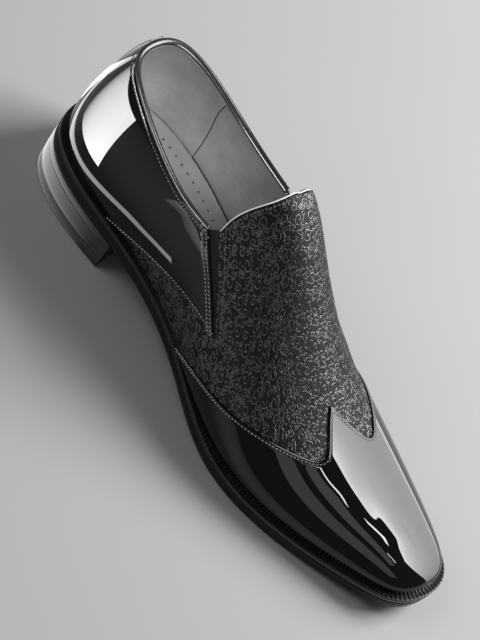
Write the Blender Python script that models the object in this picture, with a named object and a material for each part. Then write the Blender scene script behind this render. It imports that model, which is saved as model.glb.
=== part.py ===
"""Patent leather slip-on shoe, right foot, standing empty on its sole.

The upper, the overlays and the sole all come from one last surface, worked out from a feather
outline, a roof line and section shapes along the foot. X runs to the toe, Y to the inner side of
the foot, Z up. Sizes are in metres.
"""
import bpy
import numpy as np

for leftover in list(bpy.data.objects):
    bpy.data.objects.remove(leftover, do_unlink=True)

# Stack under the foot
GAP = 0.0003
WELT_THICKNESS = 0.0027
SOLE_STACK = 0.0094
TOP_LIFT = 0.0060
INSOLE_THICKNESS = 0.0030
WELT_TUCK = 0.0065
HEEL_BREAST = 0.074
HEEL_HOLLOW = 0.004
HEEL_TAPER = 0.0012

# Walls of the upper and of what is laid over it
WALL = 0.0020
OVERLAY_THICKNESS = 0.0009
STRIP_THICKNESS = 0.0008
STRIP_HALF_WIDTH = 0.0050
BACK_SEAM_Y = 0.0002
GORE_RECESS = 0.0005
GORE_THICKNESS = 0.0011
FOOT_CLEARANCE = 0.0012

# Ends of the ridge of the last, and the axis that angles round the foot are taken about
RIDGE_HEEL_X = 0.026
RIDGE_TOE_X = 0.262
ANGLE_AXIS_Z = 0.020

# Grid of the faceted solids
ROWS = 48
HALF_COLUMNS = 12
SOLE_ROWS = 36
SOLE_COLUMNS = 4
WELT_STEPS = 100

# Fineness of worked-out curves and cuts
CURVE_STEPS = 1600
TABLE_STEPS = 1200
MIDDLE_STEPS = 300
CUT_HALVINGS = 12
CUT_SNAP = 0.00008
WELD_DISTANCE = 1e-7

# Feather line where the upper meets the welt, as the corners of a fair closed curve: x, y
FEATHER_OUTER_SIDE = [
    (0.0030, -0.0138), (0.0120, -0.0300), (0.0360, -0.0378), (0.0700, -0.0358), (0.1050, -0.0330),
    (0.1400, -0.0366), (0.1720, -0.0453), (0.1980, -0.0488), (0.2220, -0.0450), (0.2480, -0.0354),
    (0.2700, -0.0253), (0.2880, -0.0172), (0.2985, -0.0095)]
FEATHER_INNER_SIDE = [
    (0.3020, 0.0056), (0.2997, 0.0199), (0.2840, 0.0286), (0.2580, 0.0360), (0.2280, 0.0414),
    (0.2000, 0.0408), (0.1720, 0.0348), (0.1420, 0.0296), (0.1100, 0.0299), (0.0750, 0.0330),
    (0.0380, 0.0336), (0.0120, 0.0270), (0.0030, 0.0126)]

# Sections along the foot: x, ridge height, feather height, fullness of the outer and of the inner
# side, squareness, swell of the wall, lean to the inner side, projection of the welt
SWELL_PEAK = 6.75
RIDGE, FEATHER, FULL_OUT, FULL_IN, SQUARE, SWELL, LEAN, LEDGE = range(1, 9)
SECTIONS = [
    (-0.010, 0.1120, 0.0335, 2.5, 2.5, 2.1, 0.0024, 0.0000, 0.0045),
    (0.040, 0.1090, 0.0331, 2.5, 2.5, 2.1, 0.0026, 0.0000, 0.0043),
    (0.070, 0.1115, 0.0312, 2.45, 2.45, 2.1, 0.0026, 0.0000, 0.0034),
    (0.100, 0.1212, 0.0259, 2.3, 2.8, 2.0, 0.0024, 0.0010, 0.0020),
    (0.125, 0.1148, 0.0195, 2.2, 2.9, 2.0, 0.0024, 0.0020, 0.0011),
    (0.150, 0.0911, 0.0136, 2.1, 2.5, 2.0, 0.0028, 0.0025, 0.0019),
    (0.175, 0.0692, 0.0100, 2.15, 2.3, 2.0, 0.0032, 0.0025, 0.0039),
    (0.200, 0.0512, 0.0090, 2.2, 2.3, 2.0, 0.0032, 0.0020, 0.0049),
    (0.225, 0.0402, 0.0090, 2.35, 2.35, 2.1, 0.0028, 0.0010, 0.0052),
    (0.250, 0.0346, 0.0099, 2.5, 2.5, 2.2, 0.0022, 0.0000, 0.0055),
    (0.275, 0.0312, 0.0125, 2.7, 2.7, 2.3, 0.0016, 0.0000, 0.0057),
    (0.294, 0.0302, 0.0156, 2.8, 2.8, 2.4, 0.0013, 0.0000, 0.0058),
    (0.314, 0.0292, 0.0193, 2.8, 2.8, 2.4, 0.0011, 0.0000, 0.0058)]

# Topline in side view: x, height on the outer side, height on the inner side
TOPLINE = [
    (-0.010, 0.0975, 0.0975), (0.008, 0.0970, 0.0970), (0.018, 0.0955, 0.0955), (0.036, 0.0928, 0.0910),
    (0.060, 0.0862, 0.0835), (0.080, 0.0812, 0.0806), (0.095, 0.0802, 0.0808), (0.106, 0.0810, 0.0814),
    (0.125, 0.0830, 0.0830)]

# Top edge of the tongue in side view: height, x
TONGUE_EDGE = [
    (0.074, 0.1110), (0.0845, 0.1096), (0.095, 0.1090), (0.104, 0.1118), (0.110, 0.1150), (0.116, 0.1175),
    (0.124, 0.1185)]

# Gore slit in side view: front corner of the quarter, side corner of the tongue, foot of the slit
QUARTER_CORNER = (0.1052, 0.0806)
TONGUE_CORNER = (0.1092, 0.0839)
GORE_FOOT = (0.1472, 0.0460)

# Lower edge of the quarter in side view: x, height
QUARTER_FOOT = [
    (0.045, 0.0240), (0.064, 0.0300), (0.085, 0.0375), (0.108, 0.0432), (0.128, 0.0462), (0.1461, 0.0468),
    (0.160, 0.0470)]

# Edge of the wing cap from its peak down each side, and a point it makes for past the peak: x, degrees
# round the foot from the ridge toward that side
CAP_EDGE_PAST_PEAK = (0.050, 115.0)
CAP_OUTER_EDGE = [
    (0.2040, 5.4), (0.2100, 14.9), (0.2178, 27.2), (0.2239, 37.7), (0.2265, 49.0), (0.2142, 62.0),
    (0.1869, 70.7), (0.1544, 81.8), (0.1315, 96.0), (0.1250, 104.0)]
CAP_INNER_EDGE = [
    (0.2040, -5.4), (0.2159, 8.3), (0.2244, 25.2), (0.2276, 35.6), (0.2252, 46.5), (0.2099, 60.3),
    (0.1846, 70.9), (0.1537, 82.5), (0.1335, 98.1), (0.1260, 106.0)]


# Fair curves and tables

def fair_curve(corners, count, closed=False):
    """Uniform cubic curve guided by its corners."""
    p = np.asarray(corners, float)
    if closed:
        p = np.concatenate([p[-1:], p, p[:2]])
    else:
        p = np.concatenate([p[:1], p[:1], p, p[-1:], p[-1:]])
    spans = len(p) - 3
    u = np.linspace(0.0, spans, count, endpoint=not closed)
    i = np.minimum(u.astype(int), spans - 1)
    f = (u - i)[:, None]
    return ((1 - f) ** 3 * p[i]
            + (3 * f ** 3 - 6 * f ** 2 + 4) * p[i + 1]
            + (-3 * f ** 3 + 3 * f ** 2 + 3 * f + 1) * p[i + 2]
            + f ** 3 * p[i + 3]) / 6


def read_table(table, column, at):
    """Value of one column of a table as a fair function of its first column."""
    curve = fair_curve([(row[0], row[column]) for row in table], TABLE_STEPS)
    return np.interp(at, curve[:, 0], curve[:, 1])


def feather_height(x):
    return read_table(SECTIONS, FEATHER, x)


def welt_top(x):
    return feather_height(x) - GAP


def outsole_top(x):
    return welt_top(x) - WELT_THICKNESS - GAP


def outsole_bottom(x):
    return np.maximum(feather_height(x) - SOLE_STACK, 0.0)


# Outlines in plan

def feather_outline(count):
    return fair_curve(FEATHER_OUTER_SIDE + FEATHER_INNER_SIDE, count, closed=True)


def pushed_out(curve, distance):
    """The closed curve moved outward in plan by a distance that may vary along it."""
    along = np.roll(curve, -1, axis=0) - np.roll(curve, 1, axis=0)
    along /= np.linalg.norm(along, axis=1)[:, None]
    outward = np.stack([along[:, 1], -along[:, 0]], axis=1)
    return curve + outward * np.reshape(distance, (-1, 1))


def sole_outline(count, inset=0.0):
    feather = feather_outline(count)
    return pushed_out(feather, read_table(SECTIONS, LEDGE, feather[:, 0]) - inset)


def two_sides(curve, rows, stop_x=None):
    """The outer and inner side of a closed outline from its back point forward, in even steps."""
    back = np.argmin(curve[:, 0])
    turned = np.roll(curve, -back, axis=0)
    front = np.argmax(turned[:, 0])
    outer = turned[:front + 1]
    inner = np.concatenate([turned[front:], turned[:1]])[::-1]
    sides = []
    for side in (outer, inner):
        run = np.concatenate([[0.0], np.cumsum(np.linalg.norm(np.diff(side, axis=0), axis=1))])
        end = run[-1] if stop_x is None else np.interp(stop_x, side[:, 0], run)
        steps = np.linspace(0.0, end, rows + 1)
        sides.append(np.stack([np.interp(steps, run, side[:, k]) for k in (0, 1)], axis=1))
    return sides


# Last surface

def middle_y(x):
    """Middle of the foot in plan."""
    outer, inner = two_sides(feather_outline(CURVE_STEPS), MIDDLE_STEPS)
    return (np.interp(x, outer[:, 0], outer[:, 1]) + np.interp(x, inner[:, 0], inner[:, 1])) / 2


def last_grid(rows, half_columns):
    """Points of the last from the inner feather line over the ridge to the outer one, row by row."""
    outer, inner = two_sides(feather_outline(CURVE_STEPS), rows)
    ends = np.array([outer[0, 0], outer[-1, 0]])
    share = ((outer[:, 0] + inner[:, 0]) / 2 - ends[0]) / (ends[1] - ends[0])
    ridge_x = RIDGE_HEEL_X + (RIDGE_TOE_X - RIDGE_HEEL_X) * share
    ridge = np.stack([ridge_x, middle_y(ridge_x)], axis=1)
    turn = np.linspace(0.0, np.pi / 2, half_columns + 1)[None, :]
    halves = []
    for foot, fullness in ((inner, FULL_IN), (outer, FULL_OUT)):
        reach = foot - ridge
        outward = reach / np.linalg.norm(reach, axis=1)[:, None]
        row_x = (0.5 * (foot[:, 0] + ridge[:, 0]))[:, None]
        across = np.cos(turn) ** (2 / read_table(SECTIONS, fullness, row_x))
        rise = np.sin(turn) ** (2 / read_table(SECTIONS, SQUARE, row_x))
        x = ridge[:, :1] + reach[:, :1] * across
        y = ridge[:, 1:] + reach[:, 1:] * across
        base = feather_height(foot[:, :1])
        z = base + (read_table(SECTIONS, RIDGE, x) - base) * rise
        swell = read_table(SECTIONS, SWELL, x) * SWELL_PEAK * rise * (1 - rise) ** 2
        lean = read_table(SECTIONS, LEAN, x) * rise ** 2
        halves.append(np.stack([x + outward[:, :1] * swell, y + outward[:, 1:] * swell + lean, z], axis=-1))
    return np.concatenate([halves[0], halves[1][:, -2::-1]], axis=1)


def welded(points, faces):
    """Shared corners joined, and faces that have shrunk to a line left out."""
    keys = np.round(points / WELD_DISTANCE).astype(np.int64)
    first, inverse = np.unique(keys, axis=0, return_index=True, return_inverse=True)[1:]
    faces = inverse.reshape(-1)[faces]
    a, b, c = faces.T
    return points[first], faces[(a != b) & (b != c) & (c != a)]


def grid_faces(rows, columns):
    index = np.arange(rows * columns).reshape(rows, columns)
    a, b, c, d = index[:-1, :-1], index[1:, :-1], index[1:, 1:], index[:-1, 1:]
    one = np.stack([a, b, c], axis=-1).reshape(-1, 3)
    two = np.stack([a, c, d], axis=-1).reshape(-1, 3)
    return np.concatenate([one, two])


def point_normals(points, faces):
    a, b, c = points[faces].transpose(1, 0, 2)
    face_normals = np.cross(b - a, c - a)
    normals = np.zeros_like(points)
    for k in range(3):
        np.add.at(normals, faces[:, k], face_normals)
    return normals / np.linalg.norm(normals, axis=1)[:, None]


# Fields that tell the pieces of the upper apart, in metres, positive inside a piece

def line_field(points, through, foot):
    """Distance in side view from a line, positive in front of it and above it."""
    along = np.subtract(foot, through)
    normal = np.array([-along[1], along[0]]) / np.linalg.norm(along)
    return (points[:, [0, 2]] - foot) @ normal


def on_inner_side(points):
    lean = read_table(SECTIONS, LEAN, points[:, 0])
    return points[:, 1] > middle_y(points[:, 0]) + lean


def below_topline(points):
    outer = read_table(TOPLINE, 1, points[:, 0])
    inner = read_table(TOPLINE, 2, points[:, 0])
    return np.where(on_inner_side(points), inner, outer) - points[:, 2]


def in_front_of_tongue_edge(points):
    return points[:, 0] - read_table(TONGUE_EDGE, 1, points[:, 2])


def behind_gore(points):
    return -line_field(points, QUARTER_CORNER, GORE_FOOT)


def in_front_of_gore(points):
    return line_field(points, TONGUE_CORNER, GORE_FOOT)


def above_feather(points):
    return points[:, 2] - feather_height(points[:, 0]) - FOOT_CLEARANCE


def cap_edge_field(edge, sign):
    """Distance along the foot from one side's edge of the cap, positive toward the toe.

    Past the peak the edge goes on toward the heel, so the two sides together cut a sharp peak.
    """
    curve = fair_curve(edge, MIDDLE_STEPS)
    degrees = np.concatenate([[-CAP_EDGE_PAST_PEAK[1]], curve[:, 1]])
    edge_x = np.concatenate([[CAP_EDGE_PAST_PEAK[0]], curve[:, 0]])

    def field(points):
        lean = read_table(SECTIONS, LEAN, points[:, 0])
        sideways = points[:, 1] - middle_y(points[:, 0]) - lean
        angle = np.degrees(np.arctan2(sideways * sign, points[:, 2] - ANGLE_AXIS_Z))
        return points[:, 0] - np.interp(angle, degrees, edge_x)

    return field


def beside_seam(points):
    return points[:, 1] - BACK_SEAM_Y


def below_gore_top(points):
    """Distance below the line between the two corners that the gore hangs from."""
    slope = (TONGUE_CORNER[1] - QUARTER_CORNER[1]) / (TONGUE_CORNER[0] - QUARTER_CORNER[0])
    return QUARTER_CORNER[1] + slope * (points[:, 0] - QUARTER_CORNER[0]) - points[:, 2]


def above_quarter_foot(points):
    return points[:, 2] - read_table(QUARTER_FOOT, 1, points[:, 0])


def less(field, distance):
    """A field drawn in by a distance."""
    return lambda points: field(points) - distance


def turned(field):
    return lambda points: -field(points)


# Sheets of triangles with normals, cut along fields

def split_sheet(sheet, field):
    """The same sheet with every triangle that the field's zero line crosses divided along it."""
    points, normals, faces = sheet
    value = field(points)
    side = np.where(np.abs(value) < CUT_SNAP, 0, np.sign(value)).astype(int)
    edges = np.sort(np.concatenate([faces[:, [0, 1]], faces[:, [1, 2]], faces[:, [2, 0]]]), axis=1)
    start, end = np.unique(edges[side[edges].prod(axis=1) < 0], axis=0).T
    low, high = np.zeros(len(start)), np.ones(len(start))
    for halving in range(CUT_HALVINGS):
        middle = ((low + high) / 2)[:, None]
        same = field(points[start] * (1 - middle) + points[end] * middle) * value[start] > 0
        low = np.where(same, middle[:, 0], low)
        high = np.where(same, high, middle[:, 0])
    share = ((low + high) / 2)[:, None]
    added = {pair: len(points) + k for k, pair in enumerate(zip(start.tolist(), end.tolist()))}
    points = np.concatenate([points, points[start] * (1 - share) + points[end] * share])
    normals = np.concatenate([normals, normals[start] * (1 - share) + normals[end] * share])
    pieces = []
    for face in faces.tolist():
        above, below = [], []
        for i, j in zip(face, face[1:] + face[:1]):
            if side[i] >= 0:
                above.append(i)
            if side[i] <= 0:
                below.append(i)
            if side[i] * side[j] < 0:
                above.append(added[min(i, j), max(i, j)])
                below.append(added[min(i, j), max(i, j)])
        whole = side[face].min() >= 0 or side[face].max() <= 0
        for ring in [face] if whole else [above, below]:
            pieces.extend((ring[0], ring[k], ring[k + 1]) for k in range(1, len(ring) - 1))
    return points, normals, np.array(pieces)


def chosen(sheet, wanted):
    """The triangles of a sheet whose middles are wanted."""
    points, normals, faces = sheet
    faces = faces[wanted(points[faces].mean(axis=1))]
    used, faces = np.unique(faces, return_inverse=True)
    return points[used], normals[used], faces.reshape(-1, 3)


def within(sheet, fields):
    """The part of a sheet where every field is positive."""
    for field in fields:
        sheet = split_sheet(sheet, field)
        sheet = chosen(sheet, lambda middles: field(middles) > 0)
    return sheet


# Solids as points and triangles

def thick_sheet(sheet, inner_offset, outer_offset):
    """A sheet given a thickness between two offsets along its normals."""
    points, normals, faces = sheet
    normals = normals / np.linalg.norm(normals, axis=1)[:, None]
    count = len(points)
    edges = np.concatenate([faces[:, [0, 1]], faces[:, [1, 2]], faces[:, [2, 0]]])
    seen = {tuple(edge) for edge in edges}
    rim = np.array([edge for edge in edges if (edge[1], edge[0]) not in seen])
    a, b = rim.T
    walls = np.concatenate([np.stack([b, a, a + count], axis=1), np.stack([b, a + count, b + count], axis=1)])
    shell = np.concatenate([points + normals * outer_offset, points + normals * inner_offset])
    return shell, np.concatenate([faces, faces[:, ::-1] + count, walls])


def plan_grid(curve, rows, columns, stop_x=None, hollow=0.0):
    outer, inner = two_sides(curve, rows, stop_x)
    share = np.linspace(0.0, 1.0, columns + 1)[None, :, None]
    grid = outer[:, None] * (1 - share) + inner[:, None] * share
    ramp = np.linspace(0.0, 1.0, rows + 1)[:, None] ** 3
    grid[..., 0] -= hollow * ramp * (4 * share * (1 - share))[..., 0]
    return grid


def plate(upper_plan, lower_plan, upper_z, lower_z):
    """Solid between two plans on one grid, with a height function for each."""
    rows, columns = upper_plan.shape[:2]
    top = np.concatenate([upper_plan, upper_z(upper_plan[..., :1])], axis=-1).reshape(-1, 3)
    bottom = np.concatenate([lower_plan, lower_z(lower_plan[..., :1])], axis=-1).reshape(-1, 3)
    faces = grid_faces(rows, columns)
    index = np.arange(rows * columns).reshape(rows, columns)
    loop = np.concatenate([index[:-1, 0], index[-1, :-1], index[:0:-1, -1], index[0, :0:-1]])
    after = np.roll(loop, -1)
    count = rows * columns
    walls = np.concatenate([np.stack([after, loop, loop + count], axis=1),
                            np.stack([after, loop + count, after + count], axis=1)])
    return welded(np.concatenate([top, bottom]), np.concatenate([faces, faces[:, ::-1] + count, walls]))


def welt_ring():
    feather = feather_outline(WELT_STEPS)
    outside = sole_outline(WELT_STEPS)
    inside = pushed_out(feather, -WELT_TUCK)
    rings = []
    for plan, drop in ((outside, 0.0), (outside, WELT_THICKNESS), (inside, WELT_THICKNESS), (inside, 0.0)):
        rings.append(np.column_stack([plan, welt_top(plan[:, 0]) - drop]))
    points = np.concatenate(rings)
    faces = []
    for k in range(4):
        here = np.arange(WELT_STEPS) + k * WELT_STEPS
        there = np.arange(WELT_STEPS) + (k + 1) % 4 * WELT_STEPS
        faces.append(np.stack([here, there, np.roll(there, -1)], axis=1))
        faces.append(np.stack([here, np.roll(there, -1), np.roll(here, -1)], axis=1))
    return points, np.concatenate(faces)


def level(height):
    return lambda x: np.full_like(x, height)


# Sole unit

solids = {}
sole_plan = plan_grid(sole_outline(CURVE_STEPS), SOLE_ROWS, SOLE_COLUMNS)
solids["outsole"] = plate(sole_plan, sole_plan, outsole_top, outsole_bottom)
solids["welt"] = welt_ring()

insole_plan = plan_grid(pushed_out(feather_outline(CURVE_STEPS), -(WALL + 2 * GAP)), SOLE_ROWS, SOLE_COLUMNS)
solids["insole"] = plate(insole_plan, insole_plan, lambda x: feather_height(x) + INSOLE_THICKNESS, feather_height)


def heel_plan(height):
    """Plan of the heel at a height, drawn in toward the floor."""
    full_height = outsole_bottom(np.array([0.0]))[0]
    inset = HEEL_TAPER * (1 - height / full_height)
    return plan_grid(sole_outline(CURVE_STEPS, inset), SOLE_ROWS // 2, SOLE_COLUMNS, HEEL_BREAST, HEEL_HOLLOW)


heel_height = outsole_bottom(np.array([0.0]))[0]
solids["heel_stack"] = plate(heel_plan(heel_height), heel_plan(TOP_LIFT + GAP),
                             lambda x: outsole_bottom(x) - GAP, level(TOP_LIFT + GAP))
solids["heel_top_lift"] = plate(heel_plan(TOP_LIFT), heel_plan(0.0), level(TOP_LIFT), level(0.0))

# Upper and what is laid over it

grid = last_grid(ROWS, HALF_COLUMNS)
last_points, last_faces = welded(grid.reshape(-1, 3), grid_faces(ROWS + 1, 2 * HALF_COLUMNS + 1)[:, ::-1])
last = (last_points, point_normals(last_points, last_faces), last_faces)


def in_upper(points):
    under_opening = (below_topline(points) > 0) | (in_front_of_tongue_edge(points) > 0)
    clear_of_slit = (behind_gore(points) > 0) | (in_front_of_gore(points) > 0)
    return under_opening & clear_of_slit


upper_sheet = last
for edge_field in (below_topline, in_front_of_tongue_edge, behind_gore, in_front_of_gore):
    upper_sheet = split_sheet(upper_sheet, edge_field)
solids["upper"] = thick_sheet(chosen(upper_sheet, in_upper), -WALL, 0.0)

overlay_top = GAP + OVERLAY_THICKNESS
strip_base = overlay_top + GAP
cap_fields = [cap_edge_field(CAP_OUTER_EDGE, -1), cap_edge_field(CAP_INNER_EDGE, 1), above_feather]
solids["wing_cap"] = thick_sheet(within(last, cap_fields), GAP, overlay_top)

halves = {"lateral": turned(beside_seam), "medial": beside_seam}
for side, half in halves.items():
    quarter_fields = [less(half, GAP / 2), behind_gore, above_quarter_foot, below_topline, above_feather]
    solids["quarter_" + side] = thick_sheet(within(last, quarter_fields), GAP, overlay_top)
    slit_fields = [half, less(turned(behind_gore), GAP), less(turned(in_front_of_gore), GAP), below_gore_top]
    solids["gore_" + side] = thick_sheet(within(last, slit_fields), -GORE_RECESS - GORE_THICKNESS, -GORE_RECESS)

strip_fields = [less(beside_seam, -STRIP_HALF_WIDTH), less(turned(beside_seam), -STRIP_HALF_WIDTH),
                lambda points: RIDGE_HEEL_X - points[:, 0], below_topline, above_feather]
solids["back_strip"] = thick_sheet(within(last, strip_fields), strip_base, strip_base + STRIP_THICKNESS)

# Objects, moved so that the whole shoe stands centred over the origin

COLOURS = {
    "outsole": (0.020, 0.020, 0.022), "welt": (0.016, 0.016, 0.018), "insole": (0.42, 0.42, 0.43),
    "heel_stack": (0.070, 0.070, 0.074), "heel_top_lift": (0.018, 0.018, 0.018),
    "upper": (0.050, 0.050, 0.056), "wing_cap": (0.010, 0.010, 0.011),
    "quarter_lateral": (0.010, 0.010, 0.011), "quarter_medial": (0.010, 0.010, 0.011),
    "gore_lateral": (0.022, 0.022, 0.023), "gore_medial": (0.022, 0.022, 0.023),
    "back_strip": (0.010, 0.010, 0.011)}
PATENT = {"wing_cap", "quarter_lateral", "quarter_medial", "back_strip"}
PATENT_ROUGHNESS = 0.06
PLAIN_ROUGHNESS = 0.55

everything = np.concatenate([points for points, faces in solids.values()])
low, high = everything.min(axis=0), everything.max(axis=0)
centre = np.array([(low[0] + high[0]) / 2, (low[1] + high[1]) / 2, low[2]])

for name, (points, faces) in solids.items():
    mesh = bpy.data.meshes.new(name)
    mesh.from_pydata((points - centre).tolist(), [], faces.tolist())
    mesh.update()
    material = bpy.data.materials.new(name)
    material.use_nodes = True
    shader = material.node_tree.nodes["Principled BSDF"]
    shader.inputs["Base Color"].default_value = (*COLOURS[name], 1.0)
    shader.inputs["Roughness"].default_value = PATENT_ROUGHNESS if name in PATENT else PLAIN_ROUGHNESS
    mesh.materials.append(material)
    bpy.context.collection.objects.link(bpy.data.objects.new(name, mesh))
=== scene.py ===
"""Looks of a patent leather slip-on shoe for the right foot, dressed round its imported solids.

Points are worked out in the frame of the last: X from the back of the heel to the toe, Y to the inner
side of the foot, Z up, in metres. Each piece is moved into the frame of the solids as it is made.
"""
import math

import bpy
import numpy as np
from mathutils import Matrix, Quaternion, Vector


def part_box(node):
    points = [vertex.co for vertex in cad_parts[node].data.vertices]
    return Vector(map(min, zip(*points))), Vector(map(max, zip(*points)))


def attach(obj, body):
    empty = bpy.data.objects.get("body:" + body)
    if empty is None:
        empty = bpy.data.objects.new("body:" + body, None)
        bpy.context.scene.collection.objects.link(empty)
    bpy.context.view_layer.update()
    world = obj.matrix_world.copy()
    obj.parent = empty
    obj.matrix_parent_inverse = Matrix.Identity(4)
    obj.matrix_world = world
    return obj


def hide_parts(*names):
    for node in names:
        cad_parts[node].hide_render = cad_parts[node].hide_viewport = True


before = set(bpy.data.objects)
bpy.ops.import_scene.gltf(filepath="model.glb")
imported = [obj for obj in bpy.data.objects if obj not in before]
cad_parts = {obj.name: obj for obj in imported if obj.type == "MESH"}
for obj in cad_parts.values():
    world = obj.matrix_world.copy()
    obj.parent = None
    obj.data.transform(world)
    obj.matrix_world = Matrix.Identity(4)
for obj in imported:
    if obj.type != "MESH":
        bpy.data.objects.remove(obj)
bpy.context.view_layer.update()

# Insole sock
# A sock of soft pale-grey leather over thin foam, glued on the board that the foot stands on.
# It is cut a little smaller than the dark board, its edge is pressed down, and a row of holes is punched
# round it.
# The board's dark tone is partly painted shade in the gap at the sock's edge; the holes are dark discs,
# dark partly as the board and partly as painted shade inside them.

# Feather line, where the upper meets the sole, in plan: x, y, forward on the outer side and back on the
# inner side
FEATHER_OUTER_SIDE = [
    (0.0030, -0.0138), (0.0120, -0.0300), (0.0360, -0.0378), (0.0700, -0.0358), (0.1050, -0.0330),
    (0.1400, -0.0366), (0.1720, -0.0453), (0.1980, -0.0488), (0.2220, -0.0450), (0.2480, -0.0354),
    (0.2700, -0.0253), (0.2880, -0.0172), (0.2985, -0.0095)]
FEATHER_INNER_SIDE = [
    (0.3020, 0.0056), (0.2997, 0.0199), (0.2840, 0.0286), (0.2580, 0.0360), (0.2280, 0.0414),
    (0.2000, 0.0408), (0.1720, 0.0348), (0.1420, 0.0296), (0.1100, 0.0299), (0.0750, 0.0330),
    (0.0380, 0.0336), (0.0120, 0.0270), (0.0030, 0.0126)]

# Sections along the foot: x, ridge height, feather height, fullness of the outer and of the inner
# side, squareness, swell of the wall, lean to the inner side, projection of the welt
RIDGE, FEATHER, FULL_OUT, FULL_IN, SQUARE, SWELL, LEAN, LEDGE = range(1, 9)
SECTIONS = [
    (-0.010, 0.1120, 0.0335, 2.5, 2.5, 2.1, 0.0024, 0.0000, 0.0045),
    (0.040, 0.1090, 0.0331, 2.5, 2.5, 2.1, 0.0026, 0.0000, 0.0043),
    (0.070, 0.1115, 0.0312, 2.45, 2.45, 2.1, 0.0026, 0.0000, 0.0034),
    (0.100, 0.1212, 0.0259, 2.3, 2.8, 2.0, 0.0024, 0.0010, 0.0020),
    (0.125, 0.1148, 0.0195, 2.2, 2.9, 2.0, 0.0024, 0.0020, 0.0011),
    (0.150, 0.0911, 0.0136, 2.1, 2.5, 2.0, 0.0028, 0.0025, 0.0019),
    (0.175, 0.0692, 0.0100, 2.15, 2.3, 2.0, 0.0032, 0.0025, 0.0039),
    (0.200, 0.0512, 0.0090, 2.2, 2.3, 2.0, 0.0032, 0.0020, 0.0049),
    (0.225, 0.0402, 0.0090, 2.35, 2.35, 2.1, 0.0028, 0.0010, 0.0052),
    (0.250, 0.0346, 0.0099, 2.5, 2.5, 2.2, 0.0022, 0.0000, 0.0055),
    (0.275, 0.0312, 0.0125, 2.7, 2.7, 2.3, 0.0016, 0.0000, 0.0057),
    (0.294, 0.0302, 0.0156, 2.8, 2.8, 2.4, 0.0013, 0.0000, 0.0058),
    (0.314, 0.0292, 0.0193, 2.8, 2.8, 2.4, 0.0011, 0.0000, 0.0058)]
OUTLINE_STEPS = 6000
TABLE_STEPS = 4000
SOLID_WELT_STEPS = 100

SOCK_INSET = 0.0035
SOCK_RISE = 0.0032
SOCK_EDGE_DROP = 0.0012
SOCK_EDGE_WIDTH = 0.0016
BOARD_INSET = 0.0014
BOARD_RISE = 0.0015
SOCK_ROWS = 150
SOCK_COLUMNS = 40
HOLE_INSET = 0.0090
HOLE_PITCH = 0.0055
HOLE_SIDES = 12

# Step through the points of the sock's edge when distances from it are measured, and the least angle
# between two faces that shows as a crisp edge
EDGE_THINNING = 4
CRISP_ANGLE = math.radians(50.0)

# Rings of a punched hole from its middle outward: radius, height
HOLE_RINGS = [(0.00020, 0.00003), (0.00044, 0.00004), (0.00056, 0.00007), (0.00066, 0.00001)]

# Grain of leather: fine cells and slow patches to one grain cell, shares of the fine cells in the height
# and in the tone, strength of the bump, and the stretch of the tone that colours run over
GRAIN_FINE = 1.7
GRAIN_PATCH = 0.045
GRAIN_ROUGH = 0.6
GRAIN_MOTTLE = 0.3
GRAIN_STRENGTH = 0.6
TONE_RANGE = (0.35, 0.95)


def fair_curve(corners, count, closed=False):
    """Uniform cubic curve guided by its corners."""
    guide = np.asarray(corners, float)
    if closed:
        guide = np.concatenate([guide[-1:], guide, guide[:2]])
    else:
        guide = np.concatenate([guide[:1], guide[:1], guide, guide[-1:], guide[-1:]])
    spans = len(guide) - 3
    run = np.linspace(0.0, spans, count, endpoint=not closed)
    span = np.minimum(run.astype(int), spans - 1)
    part = (run - span)[:, None]
    return ((1 - part) ** 3 * guide[span]
            + (3 * part ** 3 - 6 * part ** 2 + 4) * guide[span + 1]
            + (-3 * part ** 3 + 3 * part ** 2 + 3 * part + 1) * guide[span + 2]
            + part ** 3 * guide[span + 3]) / 6


def read_table(table, column, at):
    """Value of one column of a table as a fair function of its first column."""
    curve = fair_curve([(row[0], row[column]) for row in table], TABLE_STEPS)
    return np.interp(at, curve[:, 0], curve[:, 1])


def feather_height(x):
    return read_table(SECTIONS, FEATHER, x)


def feather_outline(count):
    return fair_curve(FEATHER_OUTER_SIDE + FEATHER_INNER_SIDE, count, closed=True)


def unit(vectors):
    return vectors / np.linalg.norm(vectors, axis=-1, keepdims=True)


def pushed_out(curve, distance):
    """The closed curve moved outward in plan by a distance that may vary along it."""
    along = unit(np.roll(curve, -1, axis=0) - np.roll(curve, 1, axis=0))
    outward = np.stack([along[:, 1], -along[:, 0]], axis=1)
    return curve + outward * np.reshape(distance, (-1, 1))


def sole_outline(count, inset=0.0):
    feather = feather_outline(count)
    return pushed_out(feather, read_table(SECTIONS, LEDGE, feather[:, 0]) - inset)


def run_along(line):
    """Distance from the start of a line to each of its points."""
    return np.concatenate([[0.0], np.cumsum(np.linalg.norm(np.diff(line, axis=0), axis=1))])


def read_along(line, steps):
    """Places at given distances along a line, with all its columns."""
    run = run_along(line[:, :3])
    return np.stack([np.interp(steps, run, column) for column in line.T], axis=1)


def two_sides(curve, rows, stop_x=None):
    """The outer and inner side of a closed outline from its back point forward, in even steps."""
    turned = np.roll(curve, -np.argmin(curve[:, 0]), axis=0)
    front = np.argmax(turned[:, 0])
    sides = []
    for side in (turned[:front + 1], np.concatenate([turned[front:], turned[:1]])[::-1]):
        run = run_along(side)
        end = run[-1] if stop_x is None else np.interp(stop_x, side[:, 0], run)
        sides.append(read_along(side, np.linspace(0.0, end, rows + 1)))
    return sides


def plan_grid(curve, rows, columns, stop_x=None, hollow=0.0):
    """Points across an outline from side to side, closer together near the sides, hollowed in front."""
    outer, inner = two_sides(curve, rows, stop_x)
    share = (0.5 - 0.5 * np.cos(np.linspace(0.0, np.pi, columns + 1)))[None, :, None]
    plan = outer[:, None] * (1 - share) + inner[:, None] * share
    ramp = np.linspace(0.0, 1.0, rows + 1)[:, None] ** 3
    plan[..., 0] -= hollow * ramp * (4 * share * (1 - share))[..., 0]
    return plan


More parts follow.
